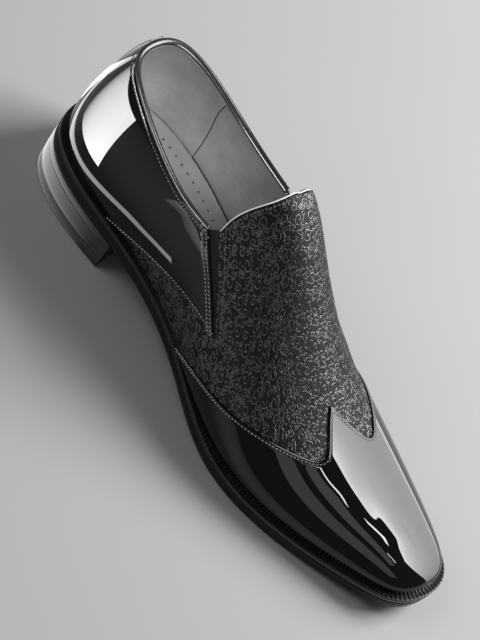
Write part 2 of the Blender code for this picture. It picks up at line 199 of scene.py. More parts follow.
def welded(points, faces, tolerance=1e-7):
    """Shared corners joined, and faces that have shrunk to a line left out."""
    keys = np.round(points / tolerance).astype(np.int64)
    first, inverse = np.unique(keys, axis=0, return_index=True, return_inverse=True)[1:]
    inverse = inverse.reshape(-1)
    faces = inverse[faces]
    a, b, c = faces.T
    return first, inverse, faces[(a != b) & (b != c) & (c != a)]


def numbered(rows, columns):
    """Numbers of the points of a grid, row by row."""
    return np.arange(rows * columns).reshape(rows, columns)


def grid_faces(rows, columns):
    index = numbered(rows, columns)
    a, b, c, d = index[:-1, :-1], index[1:, :-1], index[1:, 1:], index[:-1, 1:]
    return np.concatenate([np.stack([a, b, c], axis=-1).reshape(-1, 3),
                           np.stack([a, c, d], axis=-1).reshape(-1, 3)])


def bridge(loop, after, step):
    """Triangles between a loop of points and the same loop a step further on."""
    return np.concatenate([np.stack([after, loop, loop + step], axis=1),
                           np.stack([after, loop + step, after + step], axis=1)])


def layered(layers):
    """Closed body through grids of points lying over each other, from the top one to the bottom one."""
    rows, columns = layers[0].shape[:2]
    count = rows * columns
    index = numbered(rows, columns)
    loop = np.concatenate([index[:-1, 0], index[-1, :-1], index[:0:-1, -1], index[0, :0:-1]])
    faces = [grid_faces(rows, columns), grid_faces(rows, columns)[:, ::-1] + count * (len(layers) - 1)]
    for k in range(len(layers) - 1):
        faces.append(bridge(loop, np.roll(loop, -1), count) + count * k)
    points = np.concatenate([layer.reshape(-1, 3) for layer in layers])
    first, _, faces = welded(points, np.concatenate(faces))
    used, faces = np.unique(faces, return_inverse=True)
    return points[first][used], faces.reshape(-1, 3)


def raised(plan, height):
    return np.concatenate([plan, height[..., None]], axis=-1)


def rolled(distance, radius):
    """Height of a rounded edge from 0 at the rim to 1 at a radius inside it."""
    return np.sqrt(1 - np.clip(1 - distance / radius, 0.0, 1.0) ** 2)


def inside_by(plan, outline):
    """Distance of each point of a plan from its outline."""
    return np.array([np.linalg.norm(row[:, None] - outline[None], axis=2).min(axis=1) for row in plan])


def put(tree, kind, settings=None, sockets=None):
    """A new node with its settings, and a value or another node's output on each named socket."""
    made = tree.nodes.new(kind)
    for name, value in (settings or {}).items():
        setattr(made, name, value)
    for name, value in (sockets or {}).items():
        feed(tree, made.inputs[name], value)
    return made


def feed(tree, socket, value):
    if isinstance(value, bpy.types.NodeSocket):
        tree.links.new(value, socket)
    else:
        socket.default_value = value


def new_group(name, inputs, outputs):
    """An empty shader node group with number sockets, its tree and its two end nodes."""
    tree = bpy.data.node_groups.new(name, "ShaderNodeTree")
    for socket, kind in inputs:
        tree.interface.new_socket(socket, in_out="INPUT", socket_type=kind)
    for socket in outputs:
        tree.interface.new_socket(socket, in_out="OUTPUT", socket_type="NodeSocketFloat")
    return tree, tree.nodes.new("NodeGroupInput"), tree.nodes.new("NodeGroupOutput")


def math_node(tree, operation, first, second):
    made = put(tree, "ShaderNodeMath", {"operation": operation})
    feed(tree, made.inputs[0], first)
    feed(tree, made.inputs[1], second)
    return made.outputs[0]


def build_hide_grain():
    """Grain of leather: fine cells broken by slow patches, as a height and as a tone."""
    tree, given, result = new_group(
        "hide_grain", [("Vector", "NodeSocketVector"), ("Scale", "NodeSocketFloat")], ["Height", "Tone"])
    vector, scale = given.outputs["Vector"], given.outputs["Scale"]
    cells = put(tree, "ShaderNodeTexVoronoi", {"feature": "SMOOTH_F1"}, {"Vector": vector, "Scale": scale})
    fine = put(tree, "ShaderNodeTexNoise", {}, {
        "Vector": vector, "Scale": math_node(tree, "MULTIPLY", scale, GRAIN_FINE), "Detail": 3.0})
    patches = put(tree, "ShaderNodeTexNoise", {}, {
        "Vector": vector, "Scale": math_node(tree, "MULTIPLY", scale, GRAIN_PATCH), "Detail": 4.0})
    rough = math_node(tree, "MULTIPLY", fine.outputs[0], GRAIN_ROUGH)
    tree.links.new(math_node(tree, "ADD", cells.outputs["Distance"], rough), result.inputs["Height"])
    mottled = math_node(tree, "MULTIPLY", fine.outputs[0], GRAIN_MOTTLE)
    tree.links.new(math_node(tree, "ADD", patches.outputs[0], mottled), result.inputs["Tone"])
    return tree


def new_material(name, fixed):
    """A material whose shader has these values all over; returns it with its tree and shader."""
    material = bpy.data.materials.new(name)
    material.use_nodes = True
    shader = material.node_tree.nodes["Principled BSDF"]
    for socket, value in fixed.items():
        shader.inputs[socket].default_value = value
    return material, material.node_tree, shader


def grey(value):
    return (value, value, value, 1.0)


def varied(tree, shader, tone, dark, light, gloss):
    """Colour between dark and light, and roughness between two values, by a tone over the surface."""
    ramp = put(tree, "ShaderNodeValToRGB", {}, {"Fac": tone})
    for stop, position, colour in zip(ramp.color_ramp.elements, TONE_RANGE, (dark, light)):
        stop.position = position
        stop.color = colour
    tree.links.new(ramp.outputs["Color"], shader.inputs["Base Color"])
    spread = put(tree, "ShaderNodeMapRange", {}, {
        "Value": tone, "From Min": TONE_RANGE[0], "From Max": TONE_RANGE[1],
        "To Min": gloss[0], "To Max": gloss[1]})
    tree.links.new(spread.outputs["Result"], shader.inputs["Roughness"])


def bumped(tree, shader, height, strength, depth):
    bump = put(tree, "ShaderNodeBump", {}, {"Height": height, "Strength": strength, "Distance": depth})
    tree.links.new(bump.outputs["Normal"], shader.inputs["Normal"])


def hide_in(tree, grain):
    """The grain of leather in a material, with cells so many to the metre."""
    place = put(tree, "ShaderNodeTexCoord")
    return put(tree, "ShaderNodeGroup", {"node_tree": hide_grain}, {
        "Vector": place.outputs["Object"], "Scale": grain})


def grained(name, dark, light, gloss, grain, depth, fixed=None, strength=GRAIN_STRENGTH):
    """A grained finish between two tones and two values of roughness, with its cells and their depth."""
    material, tree, shader = new_material(name, fixed or {})
    hide = hide_in(tree, grain)
    varied(tree, shader, hide.outputs["Tone"], dark, light, gloss)
    bumped(tree, shader, hide.outputs["Height"], strength, depth)
    return material


def add_piece(name, points, faces, material, slot, replaced=(), cloth=None):
    """Makes a smooth piece in the frame of the solids, riding on the shoe's one body."""
    mesh = bpy.data.meshes.new(name)
    mesh.from_pydata((points + shift).tolist(), [], [list(face) for face in faces])
    if cloth is not None:
        layer = mesh.attributes.new("cloth", "FLOAT_VECTOR", "POINT")
        layer.data.foreach_set("vector", np.ascontiguousarray(cloth, np.float32).ravel())
    mesh.shade_smooth()
    mesh.set_sharp_from_angle(angle=CRISP_ANGLE)
    mesh.materials.append(material)
    piece = bpy.data.objects.new(name, mesh)
    bpy.context.scene.collection.objects.link(piece)
    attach(piece, "root")
    if replaced:
        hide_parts(*replaced)


def discs(centres, rings, sides):
    """Small round dished discs lying flat, one for each centre, through rings of radius and height."""
    turn = np.linspace(0.0, 2 * np.pi, sides, endpoint=False)
    round_about = -np.stack([np.cos(turn), np.sin(turn), np.zeros(sides)], axis=1)
    up = np.array([0.0, 0.0, 1.0])
    points = [(centres + up * rings[0][1])[:, None]]
    for radius, height in rings:
        points.append(centres[:, None] + round_about * radius + up * height)
    points = np.concatenate(points, axis=1)
    spoke = np.arange(sides)
    beyond = np.roll(spoke, -1)
    faces = [np.stack([np.zeros(sides, int), 1 + spoke, 1 + beyond], axis=1)]
    for k in range(len(rings) - 1):
        faces.append(bridge(1 + k * sides + beyond, 1 + k * sides + spoke, sides))
    faces = np.concatenate(faces)
    each = points.shape[1]
    return points.reshape(-1, 3), np.concatenate([faces + each * k for k in range(len(centres))])


solid_low = sole_outline(SOLID_WELT_STEPS).min(axis=0)
welt_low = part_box("welt")[0]
shift = np.array([welt_low.x - solid_low[0], welt_low.y - solid_low[1], 0.0])

hide_grain = build_hide_grain()
sock_leather = grained("sock_leather", grey(0.31), grey(0.42), (0.42, 0.58), 1500.0, 0.00008)
sock_edge = pushed_out(feather_outline(OUTLINE_STEPS), -SOCK_INSET)
sock_plan = plan_grid(sock_edge, SOCK_ROWS, SOCK_COLUMNS)
sock_drop = SOCK_EDGE_DROP * (1 - rolled(inside_by(sock_plan, sock_edge[::EDGE_THINNING]), SOCK_EDGE_WIDTH))
sock_base = feather_height(sock_plan[..., 0])
sock_body = layered([raised(sock_plan, sock_base + SOCK_RISE - sock_drop), raised(sock_plan, sock_base)])
add_piece("insole_sock", *sock_body, sock_leather, "insole_leather", ["insole"])

# The board's dark tone is partly its own and partly painted shade in the gap between the sock's edge and
# the lining
board_and_gap_shade = grained("board_and_gap_shade", grey(0.020), grey(0.040), (0.7, 0.9), 1200.0, 0.00010)
board_plan = plan_grid(pushed_out(feather_outline(OUTLINE_STEPS), -BOARD_INSET), SOCK_ROWS, SOCK_COLUMNS)
board_base = feather_height(board_plan[..., 0])
board_body = layered([raised(board_plan, board_base + BOARD_RISE), raised(board_plan, board_base)])
add_piece("insole_board", *board_body, board_and_gap_shade, "insole_leather")

# The holes aren't cut: dark discs lie on the sock, dark partly as the board beneath and partly as painted
# shade inside the holes
hole_material = grained("hole_board_and_shade", grey(0.012), grey(0.03), (0.7, 0.9), 1500.0, 0.00005)
hole_line = pushed_out(sock_edge, -HOLE_INSET)
hole_line = np.roll(hole_line, -np.argmax(hole_line[:, 0]), axis=0)
holes = read_along(hole_line, np.arange(0.0, run_along(hole_line)[-1], HOLE_PITCH))
hole_places = raised(holes, feather_height(holes[:, 0]) + SOCK_RISE)
hole_bodies = discs(hole_places, HOLE_RINGS, HOLE_SIDES)
add_piece("sock_holes", *hole_bodies, hole_material, "insole_leather")

# Lining
# Smooth pale-grey calf glued inside the upper from the topline to the insole, quarters, tongue and all.
# A separate heel lining laps over it at the back, and its curved front edge is glued down.
RIDGE_HEEL_X = 0.026
RIDGE_TOE_X = 0.262
CLOTH_ROWS = 240
CLOTH_HALF_COLUMNS = 52
MIDDLE_STEPS = 2000

# Factor that brings the swell of the wall to its full size, a third of the way up
SWELL_PEAK = 27 / 4

# Smoothing round the end of the ridge over the toe
EASE_REACH = 0.008
EASE_PASSES = 40

# How near to a level a point of a sheet counts as lying on it, the least slope that a field is taken to
# have, and the steps that divide a rolled edge, as shares of its roll
SNAP = 0.00002
LEAST_SLOPE = 1e-12
EDGE_STEPS = (0.06, 0.2, 0.45, 0.75, 1.0)

# Grain cells of the lining to the metre and their depth, streaks in it to the metre along and down the
# upper, and their share in its tone
LINING_GRAIN = 1300.0
LINING_GRAIN_DEPTH = 0.00008
STREAK_SCALE = (25.0, 700.0, 0.0)
STREAK_SHARE = 0.5

# Topline in side view: x, height on the outer side, height on the inner side
TOPLINE = [
    (-0.010, 0.0975, 0.0975), (0.008, 0.0970, 0.0970), (0.018, 0.0955, 0.0955), (0.036, 0.0928, 0.0910),
    (0.060, 0.0862, 0.0835), (0.080, 0.0812, 0.0806), (0.095, 0.0802, 0.0808), (0.106, 0.0810, 0.0814),
    (0.125, 0.0830, 0.0830)]

# Top edge of the tongue in side view: height, x on the outer side, x on the inner side
TONGUE_EDGE = [
    (0.074, 0.1110, 0.1110), (0.0845, 0.1096, 0.1098), (0.095, 0.1090, 0.1108), (0.104, 0.1118, 0.1148),
    (0.110, 0.1150, 0.1176), (0.116, 0.1175, 0.1180), (0.124, 0.1185, 0.1185)]

# Gore slit in side view: front corner of the quarter, side corner of the tongue, foot of the slit
QUARTER_CORNER = (0.1052, 0.0806)
TONGUE_CORNER = (0.1092, 0.0839)
GORE_FOOT = (0.1472, 0.0460)

# Front edge of the heel lining in side view: height, x
HEEL_LINING_EDGE = [
    (0.030, 0.0524), (0.0387, 0.0511), (0.050, 0.0502), (0.0588, 0.0492), (0.066, 0.0484), (0.073, 0.0482),
    (0.082, 0.0497), (0.090, 0.0524)]
HEEL_LINING_STEP = 0.0005
HEEL_LINING_BEVEL = 0.0005
LINING_OUTSIDE = -0.00105
LINING_INSIDE = -0.0020
LINING_ROLL = 0.0009
TONGUE_LINING_PROUD = 0.0004

# Soft troughs and swells that lasting leaves in the upper: run along the ridge from the heel, run down
# from the ridge to the inner side (outer side negative), turn in degrees, half length, half width, height
CREASES = [
    (0.150, -0.020, 80.0, 0.030, 0.0050, -0.00035), (0.163, -0.026, 72.0, 0.026, 0.0055, 0.00025),
    (0.152, 0.024, 100.0, 0.030, 0.0050, -0.00035), (0.165, 0.028, 108.0, 0.026, 0.0055, 0.00025),
    (0.228, -0.020, 20.0, 0.010, 0.0060, 0.00030), (0.247, -0.017, 15.0, 0.009, 0.0055, -0.00025),
    (0.262, -0.016, 10.0, 0.008, 0.0050, 0.00025), (0.070, -0.062, 60.0, 0.018, 0.0070, -0.00030),
    (0.088, -0.060, 65.0, 0.020, 0.0060, 0.00030)]


def middle_y(x):
    """Middle of the foot in plan."""
    return np.interp(x, middle_line[:, 0], middle_line[:, 1])


def last_grid(rows, half_columns):
    """Points of the last from the inner feather line over the ridge to the outer one, row by row."""
    outer, inner = two_sides(feather_outline(OUTLINE_STEPS), rows)
    share = ((outer[:, 0] + inner[:, 0]) / 2 - outer[0, 0]) / (outer[-1, 0] - outer[0, 0])
    ridge_x = RIDGE_HEEL_X + (RIDGE_TOE_X - RIDGE_HEEL_X) * share
    ridge = np.stack([ridge_x, middle_y(ridge_x)], axis=1)
    turn = np.linspace(0.0, np.pi / 2, half_columns + 1)[None, :]
    halves = []
    for foot, fullness in ((inner, FULL_IN), (outer, FULL_OUT)):
        reach = foot - ridge
        outward = unit(reach)
        row_x = (0.5 * (foot[:, 0] + ridge[:, 0]))[:, None]
        across = np.cos(turn) ** (2 / read_table(SECTIONS, fullness, row_x))
        rise = np.sin(turn) ** (2 / read_table(SECTIONS, SQUARE, row_x))
        x = ridge[:, :1] + reach[:, :1] * across
        y = ridge[:, 1:] + reach[:, 1:] * across
        base = feather_height(foot[:, :1])
        z = base + (read_table(SECTIONS, RIDGE, x) - base) * rise
        swell = read_table(SECTIONS, SWELL, x) * SWELL_PEAK * rise * (1 - rise) ** 2
        lean = read_table(SECTIONS, LEAN, x) * rise ** 2
        halves.append(np.stack([x + outward[:, :1] * swell, y + outward[:, 1:] * swell + lean, z], axis=-1))
    return np.concatenate([halves[0], halves[1][:, -2::-1]], axis=1)


def cloth_runs(grid, half_columns):
    """Run along the ridge and run down from it at each point of the last, inner side positive."""
    along = np.repeat(run_along(grid[:, half_columns])[:, None], grid.shape[1], axis=1)
    steps = np.linalg.norm(np.diff(grid, axis=1), axis=2)
    down = np.concatenate([np.zeros((len(grid), 1)), np.cumsum(steps, axis=1)], axis=1)
    return along, down[:, half_columns:half_columns + 1] - down


def crease_height(along, down):
    total = np.zeros_like(along)
    for run, aside, turn, half_length, half_width, height in CREASES:
        cosine, sine = math.cos(math.radians(turn)), math.sin(math.radians(turn))
        lengthwise = ((along - run) * cosine + (down - aside) * sine) / half_length
        crosswise = ((down - aside) * cosine - (along - run) * sine) / half_width
        total += height * np.exp(-lengthwise ** 2 - crosswise ** 2)
    return total


def face_edges(faces):
    """The three edges of every triangle, each from corner to corner."""
    return np.concatenate([faces[:, [0, 1]], faces[:, [1, 2]], faces[:, [2, 0]]])


def point_normals(points, faces):
    a, b, c = points[faces].transpose(1, 0, 2)
    face_normals = np.cross(b - a, c - a)
    normals = np.zeros_like(points)
    for k in range(3):
        np.add.at(normals, faces[:, k], face_normals)
    return unit(normals)


def eased(points, faces):
    """Points of a sheet with the end of the ridge over the toe smoothed into its surroundings."""
    centre = np.array([RIDGE_TOE_X, middle_y(RIDGE_TOE_X)])
    weight = np.exp(-(np.linalg.norm(points[:, :2] - centre, axis=1) / EASE_REACH) ** 2)[:, None]
    pairs = face_edges(faces)
    count = np.bincount(pairs.reshape(-1), minlength=len(points))[:, None]
    for _ in range(EASE_PASSES):
        total = np.zeros_like(points)
        np.add.at(total, pairs[:, 0], points[pairs[:, 1]])
        np.add.at(total, pairs[:, 1], points[pairs[:, 0]])
        points = points + weight * (total / count - points)
    return points


def last_sheet(rows, half_columns):
    """The creased last as a sheet: named columns of values at its points, and its triangles."""
    grid = last_grid(rows, half_columns)
    along, down = cloth_runs(grid, half_columns)
    flat = grid.reshape(-1, 3)
    first, inverse, faces = welded(flat, grid_faces(*grid.shape[:2])[:, ::-1])
    at, along, down = flat[first], along.reshape(-1)[first], down.reshape(-1)[first]
    at = eased(at + point_normals(at, faces) * crease_height(along, down)[:, None], faces)
    sheet = {"at": at, "normal": point_normals(at, faces), "along": along, "down": down, "faces": faces}
    return sheet, inverse.reshape(grid.shape[:2])


def measure(sheet, fields):
    """Gives a sheet a column of distances for each named field."""
    for name, field in fields.items():
        sheet[name] = distance(sheet, field)


def distance(sheet, field):
    """A field on a sheet divided by its slope, so that it reads as a distance from its zero line."""
    value = field(sheet["at"])
    faces = sheet["faces"]
    a, b, c = sheet["at"][faces].transpose(1, 0, 2)
    normal = np.cross(b - a, c - a)
    size = np.linalg.norm(normal, axis=1)[:, None]
    normal = normal / size
    value_a, value_b, value_c = value[faces].T[..., None]
    slope = np.cross(normal, value_a * (c - b) + value_b * (a - c) + value_c * (b - a)) / size
    total, weight = np.zeros(len(value)), np.zeros(len(value))
    for k in range(3):
        np.add.at(total, faces[:, k], np.linalg.norm(slope, axis=1) * size[:, 0])
        np.add.at(weight, faces[:, k], size[:, 0])
    return value * weight / np.maximum(total, LEAST_SLOPE)


def line_field(points, through, foot):
    """Distance in side view from a line, positive in front of it and above it."""
    along = np.subtract(foot, through)
    normal = np.array([-along[1], along[0]]) / np.linalg.norm(along)
    return (points[:, [0, 2]] - foot) @ normal


def on_inner_side(points):
    lean = read_table(SECTIONS, LEAN, points[:, 0])
    return points[:, 1] > middle_y(points[:, 0]) + lean


def by_side(table, points, at):
    """Value of a table for the side of the foot that each point is on."""
    return np.where(on_inner_side(points), read_table(table, 2, at), read_table(table, 1, at))


def below_topline(points):
    return by_side(TOPLINE, points, points[:, 0]) - points[:, 2]


def in_front_of_tongue_edge(points):
    return points[:, 0] - by_side(TONGUE_EDGE, points, points[:, 2])


def behind_gore(points):
    return -line_field(points, QUARTER_CORNER, GORE_FOOT)


def in_front_of_gore(points):
    return line_field(points, TONGUE_CORNER, GORE_FOOT)


def behind_heel_lining_edge(points):
    return read_table(HEEL_LINING_EDGE, 1, points[:, 2]) - points[:, 0]


def split(sheet, name, level=0.0):
    """The same sheet with every triangle divided where a column passes a level."""
    value = sheet[name] - level
    value[np.abs(value) < SNAP] = 0.0
    side = np.sign(value).astype(int)
    faces = sheet["faces"]
    crossed = (side[faces].min(axis=1) < 0) & (side[faces].max(axis=1) > 0)
    cut = faces[crossed]
    if not len(cut):
        return sheet
    pairs = np.sort(face_edges(cut), axis=1)
    start, end = np.unique(pairs[side[pairs].prod(axis=1) < 0], axis=0).T
    share = value[start] / (value[start] - value[end])
    added = {pair: len(value) + k for k, pair in enumerate(zip(start.tolist(), end.tolist()))}
    pieces = []
    for face in cut.tolist():
        above, below = [], []
        for i, j in zip(face, face[1:] + face[:1]):
            if side[i] >= 0:
                above.append(i)
            if side[i] <= 0:
                below.append(i)
            if side[i] * side[j] < 0:
                above.append(added[min(i, j), max(i, j)])
                below.append(added[min(i, j), max(i, j)])
        for ring in (above, below):
            pieces.extend((ring[0], ring[k], ring[k + 1]) for k in range(1, len(ring) - 1))
    result = {"faces": np.concatenate([faces[~crossed], np.array(pieces)])}
    for key, column in sheet.items():
        if key != "faces":
            mix = share.reshape((-1,) + (1,) * (column.ndim - 1))
            result[key] = np.concatenate([column, column[start] * (1 - mix) + column[end] * mix])
    result[name][len(value):] = level
    return result


def kept(sheet, wanted):
    """The triangles of a sheet that are wanted, with the points that they use."""
    used, faces = np.unique(sheet["faces"][wanted], return_inverse=True)
    result = {key: column[used] for key, column in sheet.items() if key != "faces"}
    result["faces"] = faces.reshape(-1, 3)
    return result


def mean(sheet, name):
    return sheet[name][sheet["faces"]].mean(axis=1)


def within(sheet, names):
    """The part of a sheet where every named column is positive."""
    for name in names:
        sheet = split(sheet, name)
        sheet = kept(sheet, mean(sheet, name) > 0)
    return sheet


def edged(sheet, name, levels):
    for level in levels:
        sheet = split(sheet, name, level)
    return sheet


def rim_divided(sheet, name, roll):
    """A sheet divided in steps where its rim is rolled."""
    return edged(sheet, name, [roll * step for step in EDGE_STEPS])


def shell(sheet, outside, inside):
    """Closed skin between two heights along the normals of a sheet."""
    normal = unit(sheet["normal"])
    faces = sheet["faces"]
    count = len(normal)
    edges = face_edges(faces)
    alone = ~np.isin(edges[:, 1] * count + edges[:, 0], edges[:, 0] * count + edges[:, 1])
    loop, after = edges[alone].T
    points = np.concatenate([sheet["at"] + normal * np.reshape(outside, (-1, 1)),
                             sheet["at"] + normal * np.reshape(inside, (-1, 1))])
    return points, np.concatenate([faces, faces[:, ::-1] + count, bridge(loop, after, count)])


def cloth_place(sheet):
    """Flat place of each point of a shell made from a sheet, for weave and streaks."""
    flat = np.stack([sheet["along"], sheet["down"], np.zeros(len(sheet["along"]))], axis=1)
    return np.concatenate([flat, flat])


def smooth_step(value, half_width):
    share = np.clip(0.5 + 0.5 * value / half_width, 0.0, 1.0)
    return share * share * (3 - 2 * share)


def build_lining_leather():
    """Pale calf with soft streaks along the shoe where the hide was stretched."""
    material, tree, shader = new_material("lining_leather", {})
    hide = hide_in(tree, LINING_GRAIN)
    flat = put(tree, "ShaderNodeAttribute", {"attribute_name": "cloth"})
    drawn = put(tree, "ShaderNodeVectorMath", {"operation": "MULTIPLY"})
    feed(tree, drawn.inputs[0], flat.outputs["Vector"])
    feed(tree, drawn.inputs[1], STREAK_SCALE)
    streaks = put(tree, "ShaderNodeTexNoise", {}, {"Vector": drawn.outputs[0], "Scale": 1.0, "Detail": 3.0})
    streaked = math_node(tree, "MULTIPLY", streaks.outputs[0], STREAK_SHARE)
    evened = math_node(tree, "SUBTRACT", streaked, STREAK_SHARE / 2)
    tone = math_node(tree, "ADD", hide.outputs["Tone"], evened)
    varied(tree, shader, tone, grey(0.36), grey(0.58), (0.36, 0.52))
    bumped(tree, shader, hide.outputs["Height"], GRAIN_STRENGTH, LINING_GRAIN_DEPTH)
    return material


outer_side, inner_side = two_sides(feather_outline(OUTLINE_STEPS), MIDDLE_STEPS)
middle_line = np.stack([outer_side[:, 0], (outer_side[:, 1] + np.interp(
    outer_side[:, 0], inner_side[:, 0], inner_side[:, 1])) / 2], axis=1)

cloth_last, cloth_index = last_sheet(CLOTH_ROWS, CLOTH_HALF_COLUMNS)
measure(cloth_last, {
    "topline": below_topline, "tongue": in_front_of_tongue_edge, "behind_gore": behind_gore,
    "ahead_of_gore": in_front_of_gore, "heel_lining": behind_heel_lining_edge})

lining = split(cloth_last, "tongue", -TONGUE_LINING_PROUD)
for column in ("topline", "behind_gore", "ahead_of_gore"):
    lining = split(lining, column)
lining["rim"] = np.minimum(np.maximum(lining["topline"], lining["tongue"] + TONGUE_LINING_PROUD),
                           np.maximum(lining["behind_gore"], lining["ahead_of_gore"]))
lining = kept(lining, mean(lining, "rim") > 0)
lining = rim_divided(lining, "rim", LINING_ROLL)
lining = edged(lining, "heel_lining", (-HEEL_LINING_BEVEL, 0.0, HEEL_LINING_BEVEL))
lining_depth = (LINING_INSIDE - LINING_OUTSIDE) * rolled(lining["rim"], LINING_ROLL)
lining_depth -= HEEL_LINING_STEP * smooth_step(lining["heel_lining"], HEEL_LINING_BEVEL)
lining_body = shell(lining, LINING_OUTSIDE, LINING_OUTSIDE + lining_depth)
lining_leather = build_lining_leather()
add_piece("lining", *lining_body, lining_leather, "insole_leather", cloth=cloth_place(lining))

# Vamp and tongue
# One piece of black jacquard, backed and lasted, from the high square tongue down to the sole.
# It runs back under the quarters as a wedge along the feather line, and under the wing cap in front.

# Lower edge of the quarters in side view: x, height
QUARTER_FOOT = [
    (0.045, 0.0240), (0.064, 0.0300), (0.085, 0.0375), (0.108, 0.0432), (0.128, 0.0462), (0.1461, 0.0468),
    (0.160, 0.0470)]

# Edge of the wing cap from its peak down each side, and a point it makes for past the peak: x, degrees
# round the foot from the ridge toward that side, about a line at the axis height
ANGLE_AXIS_Z = 0.020
CAP_EDGE_PAST_PEAK = (0.050, 115.0)
CAP_OUTER_EDGE = [
    (0.2040, 5.4), (0.2100, 14.9), (0.2178, 27.2), (0.2239, 37.7), (0.2265, 49.0), (0.2142, 62.0),
    (0.1869, 70.7), (0.1544, 81.8), (0.1315, 96.0), (0.1250, 104.0)]
CAP_INNER_EDGE = [
    (0.2040, -5.4), (0.2159, 8.3), (0.2244, 25.2), (0.2276, 35.6), (0.2252, 46.5), (0.2099, 60.3),
    (0.1846, 70.9), (0.1537, 82.5), (0.1335, 98.1), (0.1260, 106.0)]
CAP_STEPS = 900
TUCK_UNDER_QUARTER = 0.008
TUCK_UNDER_CAP = 0.010
VAMP_INSIDE = -0.0010
VAMP_ROLL = 0.0007

# Weave: wander of the threads, yarn fibres to one thread, share of the crossings in the tone, strength
# of the bump
THREAD_WANDER = 1.2
YARN_FINE = 4.0
CROSSING_SHARE = 0.35
WEAVE_STRENGTH = 0.8


def above_quarter_foot(points):
    return points[:, 2] - read_table(QUARTER_FOOT, 1, points[:, 0])


def cap_edge_field(edge, sign):
    """Distance along the foot from one side's edge of the cap, positive toward the toe."""
    curve = fair_curve(edge, CAP_STEPS)
    degrees = np.concatenate([[-CAP_EDGE_PAST_PEAK[1]], curve[:, 1]])
    edge_x = np.concatenate([[CAP_EDGE_PAST_PEAK[0]], curve[:, 0]])

    def field(points):
        lean = read_table(SECTIONS, LEAN, points[:, 0])
        sideways = points[:, 1] - middle_y(points[:, 0]) - lean
        angle = np.degrees(np.arctan2(sideways * sign, points[:, 2] - ANGLE_AXIS_Z))
        return points[:, 0] - np.interp(angle, degrees, edge_x)

    return field


in_front_of_outer_cap_edge = cap_edge_field(CAP_OUTER_EDGE, -1)
in_front_of_inner_cap_edge = cap_edge_field(CAP_INNER_EDGE, 1)


def build_woven_ground():
    """Weave of crossing threads with uneven yarn, as a height and as a tone."""
    tree, given, result = new_group(
        "woven_ground", [("Vector", "NodeSocketVector"), ("Threads", "NodeSocketFloat")],
        ["Height", "Tone"])
    vector, threads = given.outputs["Vector"], given.outputs["Threads"]
    warp, weft = [put(tree, "ShaderNodeTexWave", {"bands_direction": axis}, {
        "Vector": vector, "Scale": threads, "Distortion": THREAD_WANDER, "Detail": 1.0}) for axis in "XY"]
    yarn = put(tree, "ShaderNodeTexNoise", {}, {
        "Vector": vector, "Scale": math_node(tree, "MULTIPLY", threads, YARN_FINE), "Detail": 2.0})
    crossing = math_node(tree, "MULTIPLY", warp.outputs[1], weft.outputs[1])
    tree.links.new(math_node(tree, "ADD", crossing, yarn.outputs[0]), result.inputs["Height"])
    knots = math_node(tree, "MULTIPLY", crossing, CROSSING_SHARE)
    tree.links.new(math_node(tree, "ADD", knots, yarn.outputs[0]), result.inputs["Tone"])
    return tree


def cloth(name, dark, light, gloss, threads, depth, fixed=None):
    """Woven stuff between two tones and two values of roughness, lying in the flat place of the upper."""
    material, tree, shader = new_material(name, fixed or {})
    place = put(tree, "ShaderNodeAttribute", {"attribute_name": "cloth"})
    weave = put(tree, "ShaderNodeGroup", {"node_tree": woven_ground}, {
        "Vector": place.outputs["Vector"], "Threads": threads})
    varied(tree, shader, weave.outputs["Tone"], dark, light, gloss)
    bumped(tree, shader, weave.outputs["Height"], WEAVE_STRENGTH, depth)
    return material


woven_ground = build_woven_ground()
measure(cloth_last, {"above_foot": above_quarter_foot})
cloth_last["cap"] = np.minimum(distance(cloth_last, in_front_of_outer_cap_edge),
                               distance(cloth_last, in_front_of_inner_cap_edge))
vamp = cloth_last
for column, level in (("tongue", 0.0), ("ahead_of_gore", 0.0), ("above_foot", TUCK_UNDER_QUARTER),
                      ("cap", TUCK_UNDER_CAP)):
    vamp = split(vamp, column, level)
vamp["rim"] = np.minimum(
    np.maximum(np.minimum(vamp["tongue"], vamp["ahead_of_gore"]), TUCK_UNDER_QUARTER - vamp["above_foot"]),
    TUCK_UNDER_CAP - vamp["cap"])
vamp = kept(vamp, mean(vamp, "rim") > 0)
vamp = rim_divided(vamp, "rim", VAMP_ROLL)
vamp_body = shell(vamp, VAMP_INSIDE * (1 - rolled(vamp["rim"], VAMP_ROLL)), VAMP_INSIDE)
jacquard_ground = cloth("jacquard_ground", grey(0.001), grey(0.009), (0.42, 0.65), 420.0, 0.00012,
                        {"Specular IOR Level": 0.3, "Sheen Weight": 0.08, "Sheen Roughness": 0.4,
                         "Sheen Tint": grey(0.6)})
add_piece("vamp", *vamp_body, jacquard_ground, "brocade", ["upper"], cloth_place(vamp))

# Scrolls of the jacquard
# Curling stems and leaves of brighter silk, woven a thread's height proud of the black ground.
# The repeat is charted once and laid out in a half drop, every other column mirrored.
REPEAT_ALONG = 0.0220
REPEAT_DOWN = 0.0170
SCROLL_RISE = 0.00016
SCROLL_STEP = 0.00045
SCROLL_MARGIN = 0.0009
SCROLL_SWEEP = math.radians(410.0)
SCROLL_HALF_WIDTH = 0.00036
SCROLL_EYE = 0.00055
SCROLL_POINTS = 36
EYE_SHARE = 0.26
EYE_FADE = 5
TAIL_LENGTH_SHARE = 2.2
TAIL_RADIUS_SHARE = 1.4
TAIL_POINTS = 12
TAIL_TIP = 0.1
LEAF_LENGTH = 0.0024
LEAF_HALF_WIDTH = 0.00048
LEAF_POINTS = 9
LEAF_BEND = 0.8
LEAF_FULLNESS = 0.7
LEAF_TIP = 0.00005
FIRST_LEAF_TURN = 0.5
SECOND_LEAF_TURN = -1.9
SECOND_LEAF_FROM_TIP = 4
RIBBON_EDGE_RISE = 0.00002
RIBBON_LEAST_POINTS = 4
WELT_MARGIN = 0.001
DOWN_REACH = 0.100
DOWN_STEPS = 401

# Columns of the repeat across the shoe, and repeats along it
DROPS = range(-6, 7)
REPEATS = range(2, 13)

